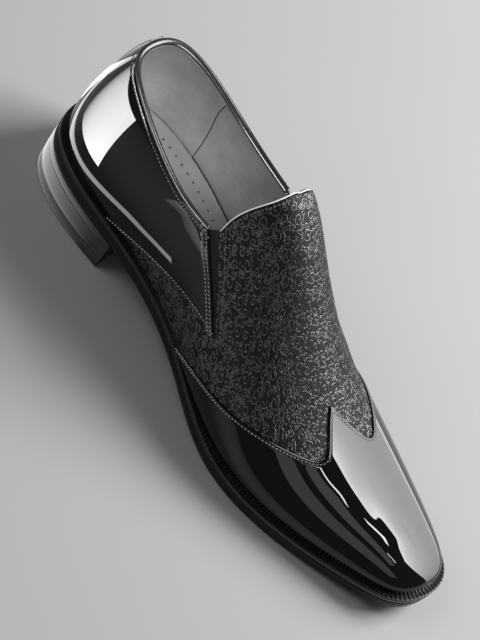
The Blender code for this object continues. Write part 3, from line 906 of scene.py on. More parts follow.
# One repeat of scrolls: along, down and radius in thousandths of a metre, angle of the eye's end in
# degrees, hand
SCROLLS = [
    (-6.5, -3.6, 3.3, 20, 1), (4.6, 0.6, 3.2, 200, -1), (-5.0, 5.0, 3.0, 110, -1),
    (0.2, -5.8, 2.2, 150, -1), (9.2, -4.8, 2.1, 80, 1), (-0.6, 1.0, 1.9, 290, 1),
    (9.8, 3.0, 2.1, 250, 1), (2.6, 6.2, 2.2, 320, 1), (8.0, 7.4, 1.7, 40, -1),
    (4.2, -4.0, 1.3, 170, 1), (-1.8, -2.6, 1.3, 60, -1), (-10.4, 0.6, 1.6, 300, -1),
    (-9.6, 4.4, 1.2, 10, 1), (-1.2, 4.6, 1.3, 230, -1), (6.2, 4.8, 1.2, 140, -1),
    (-10.0, 7.6, 1.5, 190, 1), (-2.8, 8.0, 1.3, 350, 1), (5.6, -7.6, 1.6, 270, -1),
    (-4.0, -7.8, 1.4, 100, 1), (10.6, -0.8, 1.3, 30, -1)]


def scroll(centre, radius, first, hand):
    """A line that winds out from a round eye and swings away in a tail, with half its width along it."""
    turn = np.linspace(0.0, 1.0, SCROLL_POINTS)
    angle = first + hand * SCROLL_SWEEP * turn
    reach = radius * (EYE_SHARE + (1 - EYE_SHARE) * turn)
    wound = np.stack([centre[0] + reach * np.cos(angle), centre[1] + reach * np.sin(angle)], axis=1)
    heading = angle[-1] + hand * np.pi / 2
    share = np.linspace(0.0, 1.0, TAIL_POINTS)[1:]
    swing = heading - hand * share * TAIL_LENGTH_SHARE / TAIL_RADIUS_SHARE
    step = np.stack([np.cos(swing), np.sin(swing)], axis=1) * radius * TAIL_LENGTH_SHARE / len(share)
    line = np.concatenate([wound, wound[-1] + np.cumsum(step, axis=0)])
    eye = (SCROLL_EYE - SCROLL_HALF_WIDTH) * np.clip(1 - EYE_FADE * turn, 0.0, 1.0)
    half_width = np.concatenate([SCROLL_HALF_WIDTH + eye, SCROLL_HALF_WIDTH * (1 + TAIL_TIP - share)])
    return line, half_width, heading


def leaf(foot, heading):
    """A short bent leaf from its foot, with half its width along it."""
    share = np.linspace(0.0, 1.0, LEAF_POINTS)
    bend = heading + LEAF_BEND * (share - 0.5)
    step = np.stack([np.cos(bend), np.sin(bend)], axis=1) * LEAF_LENGTH / len(share)
    half_width = LEAF_HALF_WIDTH * np.sin(np.pi * share ** LEAF_FULLNESS) + LEAF_TIP
    return foot + np.cumsum(step, axis=0), half_width


def repeat_lines():
    """Lines of one repeat in metres, each with half its width along it."""
    lines = []
    for along, down, radius, first, hand in SCROLLS:
        centre = (along / 1000, down / 1000)
        line, half_width, heading = scroll(centre, radius / 1000, math.radians(first), hand)
        lines.append((line, half_width))
        lines.append(leaf(line[SCROLL_POINTS - 1], heading + FIRST_LEAF_TURN * hand))
        lines.append(leaf(line[-SECOND_LEAF_FROM_TIP], heading + SECOND_LEAF_TURN * hand))
    return lines


def on_grid(values, row, column):
    """Values of a grid read between its points."""
    above = np.clip(row.astype(int), 0, values.shape[0] - 2)
    left = np.clip(column.astype(int), 0, values.shape[1] - 2)
    shape = (-1,) + (1,) * (values.ndim - 2)
    down = np.reshape(row - above, shape)
    right = np.reshape(column - left, shape)
    upper = values[above, left] * (1 - right) + values[above, left + 1] * right
    lower = values[above + 1, left] * (1 - right) + values[above + 1, left + 1] * right
    return upper * (1 - down) + lower * down


cloth_at = cloth_last["at"][cloth_index]
cloth_normal = cloth_last["normal"][cloth_index]
grid_along, grid_down = cloth_runs(last_grid(CLOTH_ROWS, CLOTH_HALF_COLUMNS), CLOTH_HALF_COLUMNS)
down_steps = np.linspace(-DOWN_REACH, DOWN_REACH, DOWN_STEPS)
column_numbers = np.arange(grid_down.shape[1])
column_at = np.array([np.interp(down_steps, row[::-1], column_numbers[::-1]) for row in grid_down])


def on_vamp(flat):
    """Places and normals on the last for flat places along and down the vamp."""
    row = np.interp(flat[:, 0], grid_along[:, 0], np.arange(len(grid_along)))
    column = on_grid(column_at, row, (flat[:, 1] + DOWN_REACH) / (down_steps[1] - down_steps[0]))
    return on_grid(cloth_at, row, column), on_grid(cloth_normal, row, column)


def shows_on_vamp(points):
    """Where the jacquard isn't under another piece or over an edge."""
    own = np.minimum(in_front_of_gore(points), in_front_of_tongue_edge(points))
    wedge = np.minimum(SCROLL_MARGIN - above_quarter_foot(points), points[:, 0] - QUARTER_FOOT[0][0])
    cap = np.minimum(in_front_of_outer_cap_edge(points), in_front_of_inner_cap_edge(points))
    above_welt = points[:, 2] - feather_height(points[:, 0])
    on_top = (np.maximum(own - SCROLL_MARGIN, wedge) > 0) & (cap < SCROLL_MARGIN)
    return on_top & (above_welt > WELT_MARGIN)


def ribbon(flat, half_width):
    """A raised band along a flat line on the vamp, cut where the jacquard doesn't show."""
    run = run_along(flat)
    steps = np.linspace(0.0, run[-1], max(RIBBON_LEAST_POINTS, int(run[-1] / SCROLL_STEP)))
    line = read_along(flat, steps)
    half_width = np.interp(steps, run, half_width)[:, None]
    ahead = unit(np.gradient(line, axis=0))
    aside = np.stack([-ahead[:, 1], ahead[:, 0]], axis=1)
    strips = []
    for side, rise in ((-1.0, RIBBON_EDGE_RISE), (0.0, SCROLL_RISE), (1.0, RIBBON_EDGE_RISE)):
        place, normal = on_vamp(line + aside * half_width * side)
        strips.append(place + normal * rise)
    shown = shows_on_vamp(strips[1])
    points = np.stack(strips, axis=1)
    index = numbered(*points.shape[:2])
    both = shown[:-1] & shown[1:]
    a, b = index[:-1][both], index[1:][both]
    faces = [np.stack([a[:, k], a[:, k + 1], b[:, k + 1], b[:, k]], axis=1) for k in range(len(strips) - 1)]
    lay = np.repeat(raised(line, np.zeros(len(line))), len(strips), axis=0)
    return points.reshape(-1, 3), np.concatenate(faces), lay


scroll_points, scroll_faces, scroll_lay, scroll_count = [], [], [], 0
chart = repeat_lines()
for drop in DROPS:
    for repeat in REPEATS:
        start = np.array([REPEAT_ALONG * (repeat + 0.5 * (drop % 2)), REPEAT_DOWN * drop])
        for line, half_width in chart:
            mirrored = line * (1, -1 if drop % 2 else 1) + start
            points, faces, lay = ribbon(mirrored, half_width)
            if len(faces):
                scroll_points.append(points)
                scroll_faces.append(faces + scroll_count)
                scroll_lay.append(lay)
                scroll_count += len(points)
scroll_faces = np.concatenate(scroll_faces)
scroll_used, scroll_faces = np.unique(scroll_faces, return_inverse=True)
scroll_silk = cloth("scroll_silk", grey(0.009), grey(0.070), (0.20, 0.38), 700.0, 0.00008,
                    {"Sheen Weight": 0.15, "Sheen Roughness": 0.3, "Specular IOR Level": 1.0})
add_piece("jacquard_scrolls", np.concatenate(scroll_points)[scroll_used], scroll_faces.reshape(-1, 4),
          scroll_silk, "brocade", cloth=np.concatenate(scroll_lay)[scroll_used])

# Gores
# A narrow wedge of black elastic webbing on each side, let in between the tongue and the quarter.
# It is sewn behind both edges, so it lies a little below them.
GORE_FACE = -0.0005
GORE_BACK = -0.0016
GORE_TUCK = 0.0005
GORE_ROLL = 0.0004
PATENT_ROWS = 380
PATENT_HALF_COLUMNS = 80

# Sides of the foot, and the sign of their Y
SIDES = {"lateral": -1, "medial": 1}


def below_gore_top(points):
    """Distance below the line between the two corners that the gore hangs from."""
    slope = (TONGUE_CORNER[1] - QUARTER_CORNER[1]) / (TONGUE_CORNER[0] - QUARTER_CORNER[0])
    return QUARTER_CORNER[1] + slope * (points[:, 0] - QUARTER_CORNER[0]) - points[:, 2]


last = last_sheet(PATENT_ROWS, PATENT_HALF_COLUMNS)[0]
measure(last, {
    "topline": below_topline, "behind_gore": behind_gore, "ahead_of_gore": in_front_of_gore,
    "above_foot": above_quarter_foot, "gore_top": below_gore_top,
    "outer_cap": in_front_of_outer_cap_edge, "inner_cap": in_front_of_inner_cap_edge})
last["seam"] = last["at"][:, 1]
last["slit_back"] = GORE_TUCK - last["behind_gore"]
last["slit_front"] = GORE_TUCK - last["ahead_of_gore"]
webbing = cloth("elastic_webbing", grey(0.010), grey(0.045), (0.6, 0.8), 300.0, 0.00025)
for side, hand in SIDES.items():
    last["half"] = last["seam"] * hand
    gore = within(last, ["half", "slit_back", "slit_front", "gore_top"])
    gore = rim_divided(gore, "gore_top", GORE_ROLL)
    gore_face = GORE_BACK + (GORE_FACE - GORE_BACK) * rolled(gore["gore_top"], GORE_ROLL)
    gore_body = shell(gore, gore_face, GORE_BACK)
    add_piece("gore_webbing_" + side, *gore_body, webbing, "elastic", ["gore_" + side], cloth_place(gore))

# Quarters
# Black patent leather, one piece to each side, from the gore round to the seam at the back of the heel.
# The edges are skived and folded under, then sewn down with rows that pull a shallow channel.
OVERLAY_BASE = 0.00015
OVERLAY_FACE = 0.0012
FOLD_ROLL = 0.0009
CHANNEL_DEPTH = 0.00016
CHANNEL_HALF_WIDTH = 0.0006
CHANNEL_STEPS = (-1.0, -0.5, 0.0, 0.5, 1.0)
BACK_SEAM_Y = 0.0002
PATENT_STRENGTH = 0.15

# Rows of stitches: distances in from each edge
QUARTER_ROWS = {"behind_gore": (0.0011, 0.0030), "above_foot": (0.0015,), "topline": (0.0030,)}


def channelled(sheet, rows):
    """A sheet divided where stitch channels run along its named edges, and the channels' height."""
    for name, offsets in rows.items():
        for offset in offsets:
            sheet = edged(sheet, name, [offset + CHANNEL_HALF_WIDTH * step for step in CHANNEL_STEPS])
    height = np.zeros(len(sheet["at"]))
    for name, offsets in rows.items():
        for offset in offsets:
            height -= CHANNEL_DEPTH * np.exp(-((sheet[name] - offset) / (0.5 * CHANNEL_HALF_WIDTH)) ** 2)
    return sheet, height


def overlay(sheet, rim, roll, base, face, rows):
    """A patent piece rolled at its rim and channelled along its rows: the divided sheet and its body."""
    sheet, channels = channelled(rim_divided(sheet, rim, roll), rows)
    return sheet, shell(sheet, base + (face - base) * rolled(sheet[rim], roll) + channels, base)


# Black hide under a thick clear film that is smooth but for slow waves
patent = grained("black_patent", grey(0.0006), grey(0.0018), (0.10, 0.2), 700.0, 0.00005,
                 {"Coat Weight": 1.0, "Coat Roughness": 0.02, "Coat IOR": 1.5, "Specular IOR Level": 0.0},
                 PATENT_STRENGTH)
quarters = {}
for side, hand in SIDES.items():
    last["half"] = (last["seam"] - BACK_SEAM_Y) * hand
    quarter = within(last, ["half", "behind_gore", "above_foot", "topline"])
    quarter["rim"] = np.minimum.reduce([quarter[edge] for edge in QUARTER_ROWS])
    quarters[side], quarter_body = overlay(
        quarter, "rim", FOLD_ROLL, OVERLAY_BASE, OVERLAY_FACE, QUARTER_ROWS)
    add_piece("quarter_patent_" + side, *quarter_body, patent, "patent_leather", ["quarter_" + side])

# Wing cap
# One piece of black patent leather over the toe, cut to a peak with a lobe on each side of it.
# Its wings run back along the feather line to a point at the waist, and its folded edge is sewn down.
CAP_ROWS = {"cap": (0.0016,)}
cap = within(last, ["outer_cap", "inner_cap"])
cap["cap"] = np.minimum(cap["outer_cap"], cap["inner_cap"])
cap, cap_body = overlay(cap, "cap", FOLD_ROLL, OVERLAY_BASE, OVERLAY_FACE, CAP_ROWS)
add_piece("wing_cap_patent", *cap_body, patent, "patent_leather", ["wing_cap"])

# Back strip
# A narrow strip of the same patent leather over the seam where the quarters meet behind the heel.
# Both its edges are cut clean and sewn close to the cut.
STRIP_HALF_WIDTH = 0.0050
STRIP_BASE = 0.0013
STRIP_FACE = 0.0022
STRIP_ROLL = 0.0007
STRIP_ROWS = {"strip": (0.0013,)}
last["strip"] = STRIP_HALF_WIDTH - np.abs(last["seam"] - BACK_SEAM_Y)
last["behind"] = RIDGE_HEEL_X - last["at"][:, 0]
strip = within(last, ["behind", "strip", "topline"])
strip, strip_body = overlay(strip, "strip", STRIP_ROLL, STRIP_BASE, STRIP_FACE, STRIP_ROWS)
add_piece("back_strip_patent", *strip_body, patent, "patent_leather", ["back_strip"])

# Topline binding
# A thin roll of black leather over the top edge of the quarters, closing quarter and lining together.
# It runs from one gore round the heel to the other and is turned in at both ends.
BINDING_CENTRE = -0.00045
BINDING_HALF_DEPTH = 0.0019
BINDING_HALF_HEIGHT = 0.0011
BINDING_DROP = 0.0003
ROLL_SIDES = 16
ROLL_END_GIRTH = 0.05
BINDING_STEP = 0.0009
BINDING_TURN_IN = 0.0016


def contour(sheet, name, level):
    """Lines on a sheet where a column has a level: rows of place and normal, longest line first."""
    value = sheet[name] - level
    above = value[sheet["faces"]] > 0
    links = {}
    for face in sheet["faces"][above.any(axis=1) & ~above.all(axis=1)].tolist():
        sides = zip(face, face[1:] + face[:1])
        a, b = [(min(i, j), max(i, j)) for i, j in sides if (value[i] > 0) != (value[j] > 0)]
        links.setdefault(a, []).append(b)
        links.setdefault(b, []).append(a)
    lines, waiting = [], set(links)
    for seed in [key for key in links if len(links[key]) == 1] + list(links):
        if seed not in waiting:
            continue
        chain = []
        while seed is not None:
            chain.append(seed)
            waiting.discard(seed)
            seed = next((key for key in links[seed] if key in waiting), None)
        start, end = np.array(chain).T
        share = (value[start] / (value[start] - value[end]))[:, None]
        both = np.concatenate([sheet["at"], sheet["normal"]], axis=1)
        lines.append(both[start] * (1 - share) + both[end] * share)
    return sorted(lines, key=len, reverse=True)


def evenly(line, step):
    """A line of places and normals read again in even steps."""
    length = run_along(line[:, :3])[-1]
    even = read_along(line, np.linspace(0.0, length, max(2, round(length / step) + 1)))
    even[:, 3:] = unit(even[:, 3:])
    return even


def tube_faces(rings):
    """Faces between rings of numbered points, each ring joined to the next."""
    a, b = rings[:-1], rings[1:]
    return np.stack([b, np.roll(b, -1, axis=1), np.roll(a, -1, axis=1), a], axis=-1).reshape(-1, 4)


def swept(line, centre, half_depth, half_height, turn_in):
    """An oval roll along a line of places and normals, drawn to a point at both ends."""
    places, normals = line[:, :3], line[:, 3:]
    rising = np.cross(normals, unit(np.gradient(places, axis=0)))
    run = run_along(places)
    from_end = np.minimum(run, run[-1] - run)
    girth = np.maximum(rolled(from_end, turn_in), ROLL_END_GIRTH)[:, None, None]
    turn = np.linspace(0.0, 2 * np.pi, ROLL_SIDES, endpoint=False)[None, :, None]
    middle = (places + normals * centre)[:, None]
    points = middle + girth * (normals[:, None] * np.cos(turn) * half_depth
                               + rising[:, None] * np.sin(turn) * half_height)
    rings = numbered(len(places), ROLL_SIDES)
    ends = [rings[0].tolist(), rings[-1, ::-1].tolist()]
    return points.reshape(-1, 3), tube_faces(rings).tolist() + ends


open_quarters = kept(last, mean(last, "behind_gore") > 0)
binding_line = evenly(contour(open_quarters, "topline", BINDING_DROP)[0], BINDING_STEP)
binding_leather = grained("binding_leather", grey(0.006), grey(0.016), (0.18, 0.30), 1200.0, 0.00005,
                          {"Coat Weight": 0.6, "Coat Roughness": 0.12})
binding_body = swept(
    binding_line, BINDING_CENTRE, BINDING_HALF_DEPTH, BINDING_HALF_HEIGHT, BINDING_TURN_IN)
add_piece("topline_binding", *binding_body, binding_leather, "patent_leather")

# Tongue highlight cord
# A thin cord along the tongue's edge, caught between the jacquard and the lining, standing just clear of
# the jacquard.
# Its pale colour is a painted highlight: it shows as the fine bright line along the tongue's rounded edge.
HIGHLIGHT_CORD_CENTRE = -0.0011
HIGHLIGHT_CORD_HALF_DEPTH = 0.00055
HIGHLIGHT_CORD_HALF_HEIGHT = 0.00055
HIGHLIGHT_CORD_RISE = 0.0001
# Pale colour of the cord: a painted highlight along the tongue's edge
painted_highlight_cord = grained("painted_highlight_cord", grey(0.70), grey(0.86), (0.22, 0.36), 1500.0, 0.00003)
tongue_top = kept(cloth_last, mean(cloth_last, "ahead_of_gore") > 0)
highlight_cord_line = evenly(contour(tongue_top, "tongue", -HIGHLIGHT_CORD_RISE)[0], BINDING_STEP)
highlight_cord_body = swept(
    highlight_cord_line, HIGHLIGHT_CORD_CENTRE, HIGHLIGHT_CORD_HALF_DEPTH, HIGHLIGHT_CORD_HALF_HEIGHT, HIGHLIGHT_CORD_HALF_DEPTH)
add_piece("tongue_highlight_cord", *highlight_cord_body, painted_highlight_cord, "insole_leather")

# Edge of the heel lining
# The cut front edge of the heel lining on each side, skived thin and glued down, drawn as a thin dark cord
# on the lining inside the shoe.
# Its dark colour is painted shade along the edge's step, and it shows as a fine line from the topline to
# the insole.
LINING_EDGE_HALF_WIDTH = 0.00030
LINING_EDGE_HALF_HEIGHT = 0.00022
# Dark colour of the cord: painted shade along the step at the heel lining's edge
edge_shade_line = grained("edge_shade_line", grey(0.03), grey(0.06), (0.5, 0.7), 1500.0, 0.00004)
below_top = kept(lining, mean(lining, "topline") > 2 * LINING_ROLL)
cut_edges = contour(below_top, "heel_lining", 0.0)[:len(SIDES)]
for side, line in zip(SIDES, sorted(cut_edges, key=lambda line: line[:, 1].mean())):
    lining_edge = swept(evenly(line, BINDING_STEP), LINING_INSIDE - 0.5 * HEEL_LINING_STEP,
                        LINING_EDGE_HALF_HEIGHT, LINING_EDGE_HALF_WIDTH, LINING_EDGE_HALF_WIDTH)
    add_piece("heel_lining_edge_" + side, *lining_edge, edge_shade_line, "insole_leather")

# Stitching
# Waxed polyester thread in lock stitch: near black on the patent, grey on the jacquard.
# Each stitch lies in its channel, proud at its middle and drawn into the leather at both ends.
STITCH_LENGTH = 0.0014
STITCH_PITCH = 0.0020
THREAD_RADIUS = 0.00030
STITCH_SIDES = 6
TONGUE_ROW = 0.0020
VAMP_SIDE_ROW = 0.0045

# Rings along one stitch: share of its length, girth and rise as shares of the thread's radius
STITCH_RINGS = [
    (-0.5, 0.35, -0.5), (-0.38, 0.85, 0.1), (-0.15, 1.0, 0.45), (0.15, 1.0, 0.45), (0.38, 0.85, 0.1),
    (0.5, 0.35, -0.5)]


def stitches(line, height):
    """Stitches along a line of places and normals, at a height along the normals."""
    even = evenly(line, STITCH_PITCH)
    places, normals = even[:, :3], even[:, 3:]
    ahead = unit(np.gradient(places, axis=0))
    aside = np.cross(normals, ahead)
    turn = np.linspace(0.0, 2 * np.pi, STITCH_SIDES, endpoint=False)[None, :, None]
    rings = []
    for along, girth, rise in STITCH_RINGS:
        middle = places + ahead * along * STITCH_LENGTH + normals * (height + rise * THREAD_RADIUS)
        about = aside[:, None] * np.cos(turn) + normals[:, None] * np.sin(turn)
        rings.append(middle[:, None] + about * girth * THREAD_RADIUS)
    points = np.stack(rings, axis=1)
    index = numbered(len(STITCH_RINGS), STITCH_SIDES)
    each = index.size
    faces = np.concatenate([tube_faces(index) + each * k for k in range(len(places))])
    ends = [(index[end] + each * k).tolist()[::order]
            for k in range(len(places)) for end, order in ((0, 1), (-1, -1))]
    return points.reshape(-1, 3), faces.tolist() + ends


def sewn(rows):
    """All stitches of several lines, each with its height, as one mesh."""
    points, faces, count = [], [], 0
    for line, height in rows:
        more_points, more_faces = stitches(line, height)
        points.append(more_points)
        faces.extend([[i + count for i in face] for face in more_faces])
        count += len(more_points)
    return np.concatenate(points), faces


def long_lines(sheet, name, level, shortest=0.012):
    return [line for line in contour(sheet, name, level) if run_along(line[:, :3])[-1] > shortest]


patent_rows = []
for sheet, rows, face in ((quarters["lateral"], QUARTER_ROWS, OVERLAY_FACE),
                          (quarters["medial"], QUARTER_ROWS, OVERLAY_FACE),
                          (cap, CAP_ROWS, OVERLAY_FACE), (strip, STRIP_ROWS, STRIP_FACE)):
    for name, offsets in rows.items():
        for offset in offsets:
            patent_rows += [(line, face - CHANNEL_DEPTH) for line in long_lines(sheet, name, offset)]
black_thread = grained("black_thread", grey(0.035), grey(0.085), (0.35, 0.5), 5000.0, 0.00003)
add_piece("stitches_on_patent", *sewn(patent_rows), black_thread, "patent_leather")

tongue_part = kept(vamp, mean(vamp, "ahead_of_gore") > TONGUE_ROW)
side_part = kept(vamp, (mean(vamp, "tongue") > TONGUE_ROW) & (mean(vamp, "cap") < 0)
                 & (mean(vamp, "above_foot") > 0))
vamp_lines = long_lines(tongue_part, "tongue", TONGUE_ROW)
vamp_lines += long_lines(side_part, "ahead_of_gore", VAMP_SIDE_ROW)
grey_thread = grained("grey_thread", grey(0.22), grey(0.36), (0.4, 0.55), 5000.0, 0.00003)
add_piece("stitches_on_jacquard", *sewn([(line, 0.0) for line in vamp_lines]), grey_thread, "brocade")

# Welt
# A strip of black leather sewn round the upper, standing out as a ledge all round the shoe.
# A hot wheel has pressed close ribs across its top from the waist round the toe; the rim is rounded.
WELT_THICKNESS = 0.0027
WELT_GAP = 0.0003
WELT_TUCK = 0.0040
WELT_STEPS = 2200
RIB_PITCH = 0.0021
RIB_DEPTH = 0.00042
RIB_START_X = 0.070
RIB_FULL_X = 0.095
RIB_SHARPNESS = 0.7

# Section of the welt from under the upper outward and back: share of the ledge, height, rib share
WELT_SECTION = [
    (-0.60, 0.0, 0.0), (0.05, 0.0, 0.0), (0.22, 0.0, 0.35), (0.32, 0.0, 1.0), (0.55, 0.0, 1.0),
    (0.76, 0.0, 1.0), (0.86, 0.0, 0.3), (0.94, -0.00012, 0.0), (0.985, -0.0004, 0.0),
    (1.0, -0.0009, 0.0), (1.0, -0.0018, 0.0), (0.985, -0.0024, 0.0), (0.94, -WELT_THICKNESS, 0.0),
    (-0.60, -WELT_THICKNESS, 0.0)]


def welt_top(x):
    return feather_height(x) - WELT_GAP


feather = feather_outline(WELT_STEPS)
ledge = read_table(SECTIONS, LEDGE, feather[:, 0])
edge_run = run_along(np.concatenate([feather, feather[:1]]))
rib_count = round(edge_run[-1] / RIB_PITCH)
rib_wave = 0.5 - 0.5 * np.cos(2 * np.pi * rib_count * edge_run[:-1] / edge_run[-1])
rib_fade = np.clip((feather[:, 0] - RIB_START_X) / (RIB_FULL_X - RIB_START_X), 0.0, 1.0)
welt_rings = []
for share, height, rib in WELT_SECTION:
    reach = np.maximum(ledge, WELT_TUCK) * share if share < 0 else ledge * share
    plan = pushed_out(feather, reach)
    drop = height - RIB_DEPTH * rib * rib_fade * rib_wave ** RIB_SHARPNESS
    welt_rings.append(raised(plan, welt_top(plan[:, 0]) + drop))
welt_points = np.stack(welt_rings, axis=1)
ring = numbered(*welt_points.shape[:2])
next_ring = np.roll(ring, -1, axis=0)
welt_faces = np.stack([ring, next_ring, np.roll(next_ring, -1, axis=1), np.roll(ring, -1, axis=1)],
                      axis=-1).reshape(-1, 4)
welt_leather = grained("welt_leather", grey(0.010), grey(0.030), (0.26, 0.42), 900.0, 0.00010,
                       {"Coat Weight": 0.35, "Coat Roughness": 0.22})
add_piece("ribbed_welt", welt_points.reshape(-1, 3), welt_faces, welt_leather, "welt_leather", ["welt"])

# Outsole
# Hard black leather, glued and sewn under the welt, with its edge trimmed, inked and burnished.
# It lies on the floor at the ball, rises at the toe and waist and runs out flat over the heel.
SOLE_STACK = 0.0094
SOLE_ROWS = 260
SOLE_COLUMNS = 30

# Edge of the outsole from the top down: share of its thickness, inset
SOLE_EDGE = [(1.0, 0.0006), (0.93, 0.0001), (0.55, 0.0000), (0.16, 0.0002), (0.03, 0.0006), (0.0, 0.0013)]


def outsole_top(x):
    return welt_top(x) - WELT_THICKNESS - WELT_GAP


def outsole_bottom(x):
    return np.maximum(feather_height(x) - SOLE_STACK, 0.0)


sole_layers = []
for share, inset in SOLE_EDGE:
    plan = plan_grid(sole_outline(OUTLINE_STEPS, inset), SOLE_ROWS, SOLE_COLUMNS)
    x = plan[..., 0]
    sole_layers.append(raised(plan, outsole_bottom(x) + (outsole_top(x) - outsole_bottom(x)) * share))
sole_leather = grained("sole_leather", grey(0.006), grey(0.014), (0.35, 0.5), 700.0, 0.00008,
                       {"Specular IOR Level": 0.3})
add_piece("leather_outsole", *layered(sole_layers), sole_leather, "sole_leather", ["outsole"])

# Heel stack
# Leather lifts nailed and glued under the heel seat, trimmed to one smooth block and inked black.
# The joint below the first lift shows as a fine line; the front face is hollowed.
TOP_LIFT = 0.0060
LIFT_GAP = 0.0003
HEEL_BREAST = 0.074
HEEL_HOLLOW = 0.004
HEEL_TAPER = 0.0012
HEEL_ROWS = 90
HEEL_COLUMNS = 30
FIRST_LIFT = 0.0046
JOINT_DEPTH = 0.00035
JOINT_SHOULDER = 0.3 * JOINT_DEPTH
JOINT_HALF_HEIGHT = 0.0003

# Edge of the heel from its seat down past the joint: drop, inset
HEEL_UPPER_EDGE = [
    (0.0, 0.0005), (0.0006, 0.0001), (FIRST_LIFT - 2 * JOINT_HALF_HEIGHT, 0.0),
    (FIRST_LIFT - JOINT_HALF_HEIGHT, JOINT_SHOULDER), (FIRST_LIFT, JOINT_DEPTH),
    (FIRST_LIFT + JOINT_HALF_HEIGHT, JOINT_SHOULDER), (FIRST_LIFT + 2 * JOINT_HALF_HEIGHT, 0.0)]

# Edge of the heel down to its foot: rise over the foot, inset
HEEL_LOWER_EDGE = [(0.004, 0.0), (0.0005, 0.0001), (0.0, 0.0005)]


def heel_plan(inset):
    outline = sole_outline(OUTLINE_STEPS, inset)
    return plan_grid(outline, HEEL_ROWS, HEEL_COLUMNS, HEEL_BREAST, HEEL_HOLLOW)


def heel_layer(height, inset):
    """One level of the heel at a height or a grid of heights, drawn in toward the floor and by an inset."""
    plan = heel_plan(HEEL_TAPER * (1 - np.mean(height) / heel_height) + inset)
    return raised(plan, np.broadcast_to(height, plan.shape[:2]))


heel_height = outsole_bottom(np.array([0.0]))[0]
seat = outsole_bottom(heel_plan(0.0)[..., 0]) - LIFT_GAP
heel_layers = [heel_layer(seat - drop, inset) for drop, inset in HEEL_UPPER_EDGE]
heel_layers += [heel_layer(TOP_LIFT + LIFT_GAP + rise, inset) for rise, inset in HEEL_LOWER_EDGE]
heel_leather = grained("heel_leather", grey(0.012), grey(0.028), (0.32, 0.44), 650.0, 0.00010,
                       {"Coat Weight": 0.5, "Coat Roughness": 0.25})
add_piece("heel_block", *layered(heel_layers), heel_leather, "heel_leather", ["heel_stack"])

# Heel top lift
# A slab of hard black rubber, glued and nailed under the stack, that the heel stands on.
# Its edge is buffed flush with the stack and its lower rim is slightly rounded.

# Edge of the lift from the top down: height, inset
LIFT_EDGE = [(TOP_LIFT, 0.0004), (TOP_LIFT - 0.0004, 0.0), (0.0008, 0.0), (0.0002, 0.0003), (0.0, 0.0009)]
lift_rubber = grained("lift_rubber", grey(0.012), grey(0.026), (0.36, 0.5), 1600.0, 0.00012)
lift_body = layered([heel_layer(height, inset) for height, inset in LIFT_EDGE])
add_piece("rubber_top_lift", *lift_body, lift_rubber, "rubber", ["heel_top_lift"])

# Floor, light and camera
# A plain pale floor. Soft boxes light it and the dull pieces, and the patent leather mirrors a tall wall,
# strips and low panels; each light is kept to its own pieces. The camera looks down on the outer side
# and is rolled, as in the photograph.
FLOOR_HALF_SIZE = 3.0
FLOOR_CORNERS = [(-1, -1, 0), (1, -1, 0), (1, 1, 0), (-1, 1, 0)]
FLOOR_CLOUDS = 3.0
WORLD_TONE = 0.9
WORLD_STRENGTH = 0.13
CAMERA_PLACE = np.array([0.2013, -0.7624, 0.9256])
CAMERA_AIM = np.array([-0.0125, -0.0002, 0.0300])
CAMERA_ROLL = math.radians(43.0)
CAMERA_LENS = 132.9
CAMERA_SENSOR = 36.0

floor_mesh = bpy.data.meshes.new("floor")
floor_points = [tuple(FLOOR_HALF_SIZE * part for part in corner) for corner in FLOOR_CORNERS]
floor_mesh.from_pydata(floor_points, [], [(0, 1, 2, 3)])
floor_material, floor_tree, floor_shader = new_material("pale_floor", {})
floor_place = put(floor_tree, "ShaderNodeTexCoord")
floor_noise = put(floor_tree, "ShaderNodeTexNoise", {}, {
    "Vector": floor_place.outputs["Object"], "Scale": FLOOR_CLOUDS})
varied(floor_tree, floor_shader, floor_noise.outputs[0], grey(0.60), grey(0.64), (0.75, 0.85))
floor_mesh.materials.append(floor_material)
floor = bpy.data.objects.new("floor", floor_mesh)
bpy.context.scene.collection.objects.link(floor)

world = bpy.data.worlds.new("studio")
world.use_nodes = True
backdrop = world.node_tree.nodes["Background"]
backdrop.inputs["Color"].default_value = grey(WORLD_TONE)
backdrop.inputs["Strength"].default_value = WORLD_STRENGTH
bpy.context.scene.world = world
bpy.context.scene.view_settings.view_transform = "Standard"


def area_light(name, width, height, radiance, only_on):
    """An even rectangular light that the camera doesn't see, kept to some of the pieces."""
    light = bpy.data.lights.new(name, "AREA")
    light.shape = "RECTANGLE"
    light.size = width
    light.size_y = height
    light.energy = radiance * math.pi * width * height
    box = bpy.data.objects.new(name, light)
    box.visible_camera = False
    box.light_linking.receiver_collection = only_on
    bpy.context.scene.collection.objects.link(box)
    return box


def soft_box(name, place, aim, width, height, radiance, only_on, turn=0.0):
    """A studio light at a place, facing a point and turned by degrees about the line between them."""
    box = area_light(name, width, height, radiance, only_on)
    box.location = place
    direction = box.location - Vector(aim)
    box.rotation_mode = "QUATERNION"
    box.rotation_quaternion = direction.to_track_quat("Z", "Y")
    box.rotation_quaternion.rotate(Quaternion(direction, math.radians(turn)))
    return box.data


def overhead(name, place, width, height, radiance, turn=0.0):
    """A box that faces straight down and shows only in the patent leather."""
    soft_box(name, place, (*place[:2], 0.0), width, height, radiance, glossy, turn)


def floor_panel(name, centre, height, heading, length, width, radiance, only_on):
    """A light panel lying over the floor, face up, with its length along a heading in degrees."""
    panel = area_light(name, length, width, radiance, only_on)
    panel.location = (*centre, height)
    panel.rotation_euler = (math.pi, 0.0, math.radians(heading))
    return panel.data


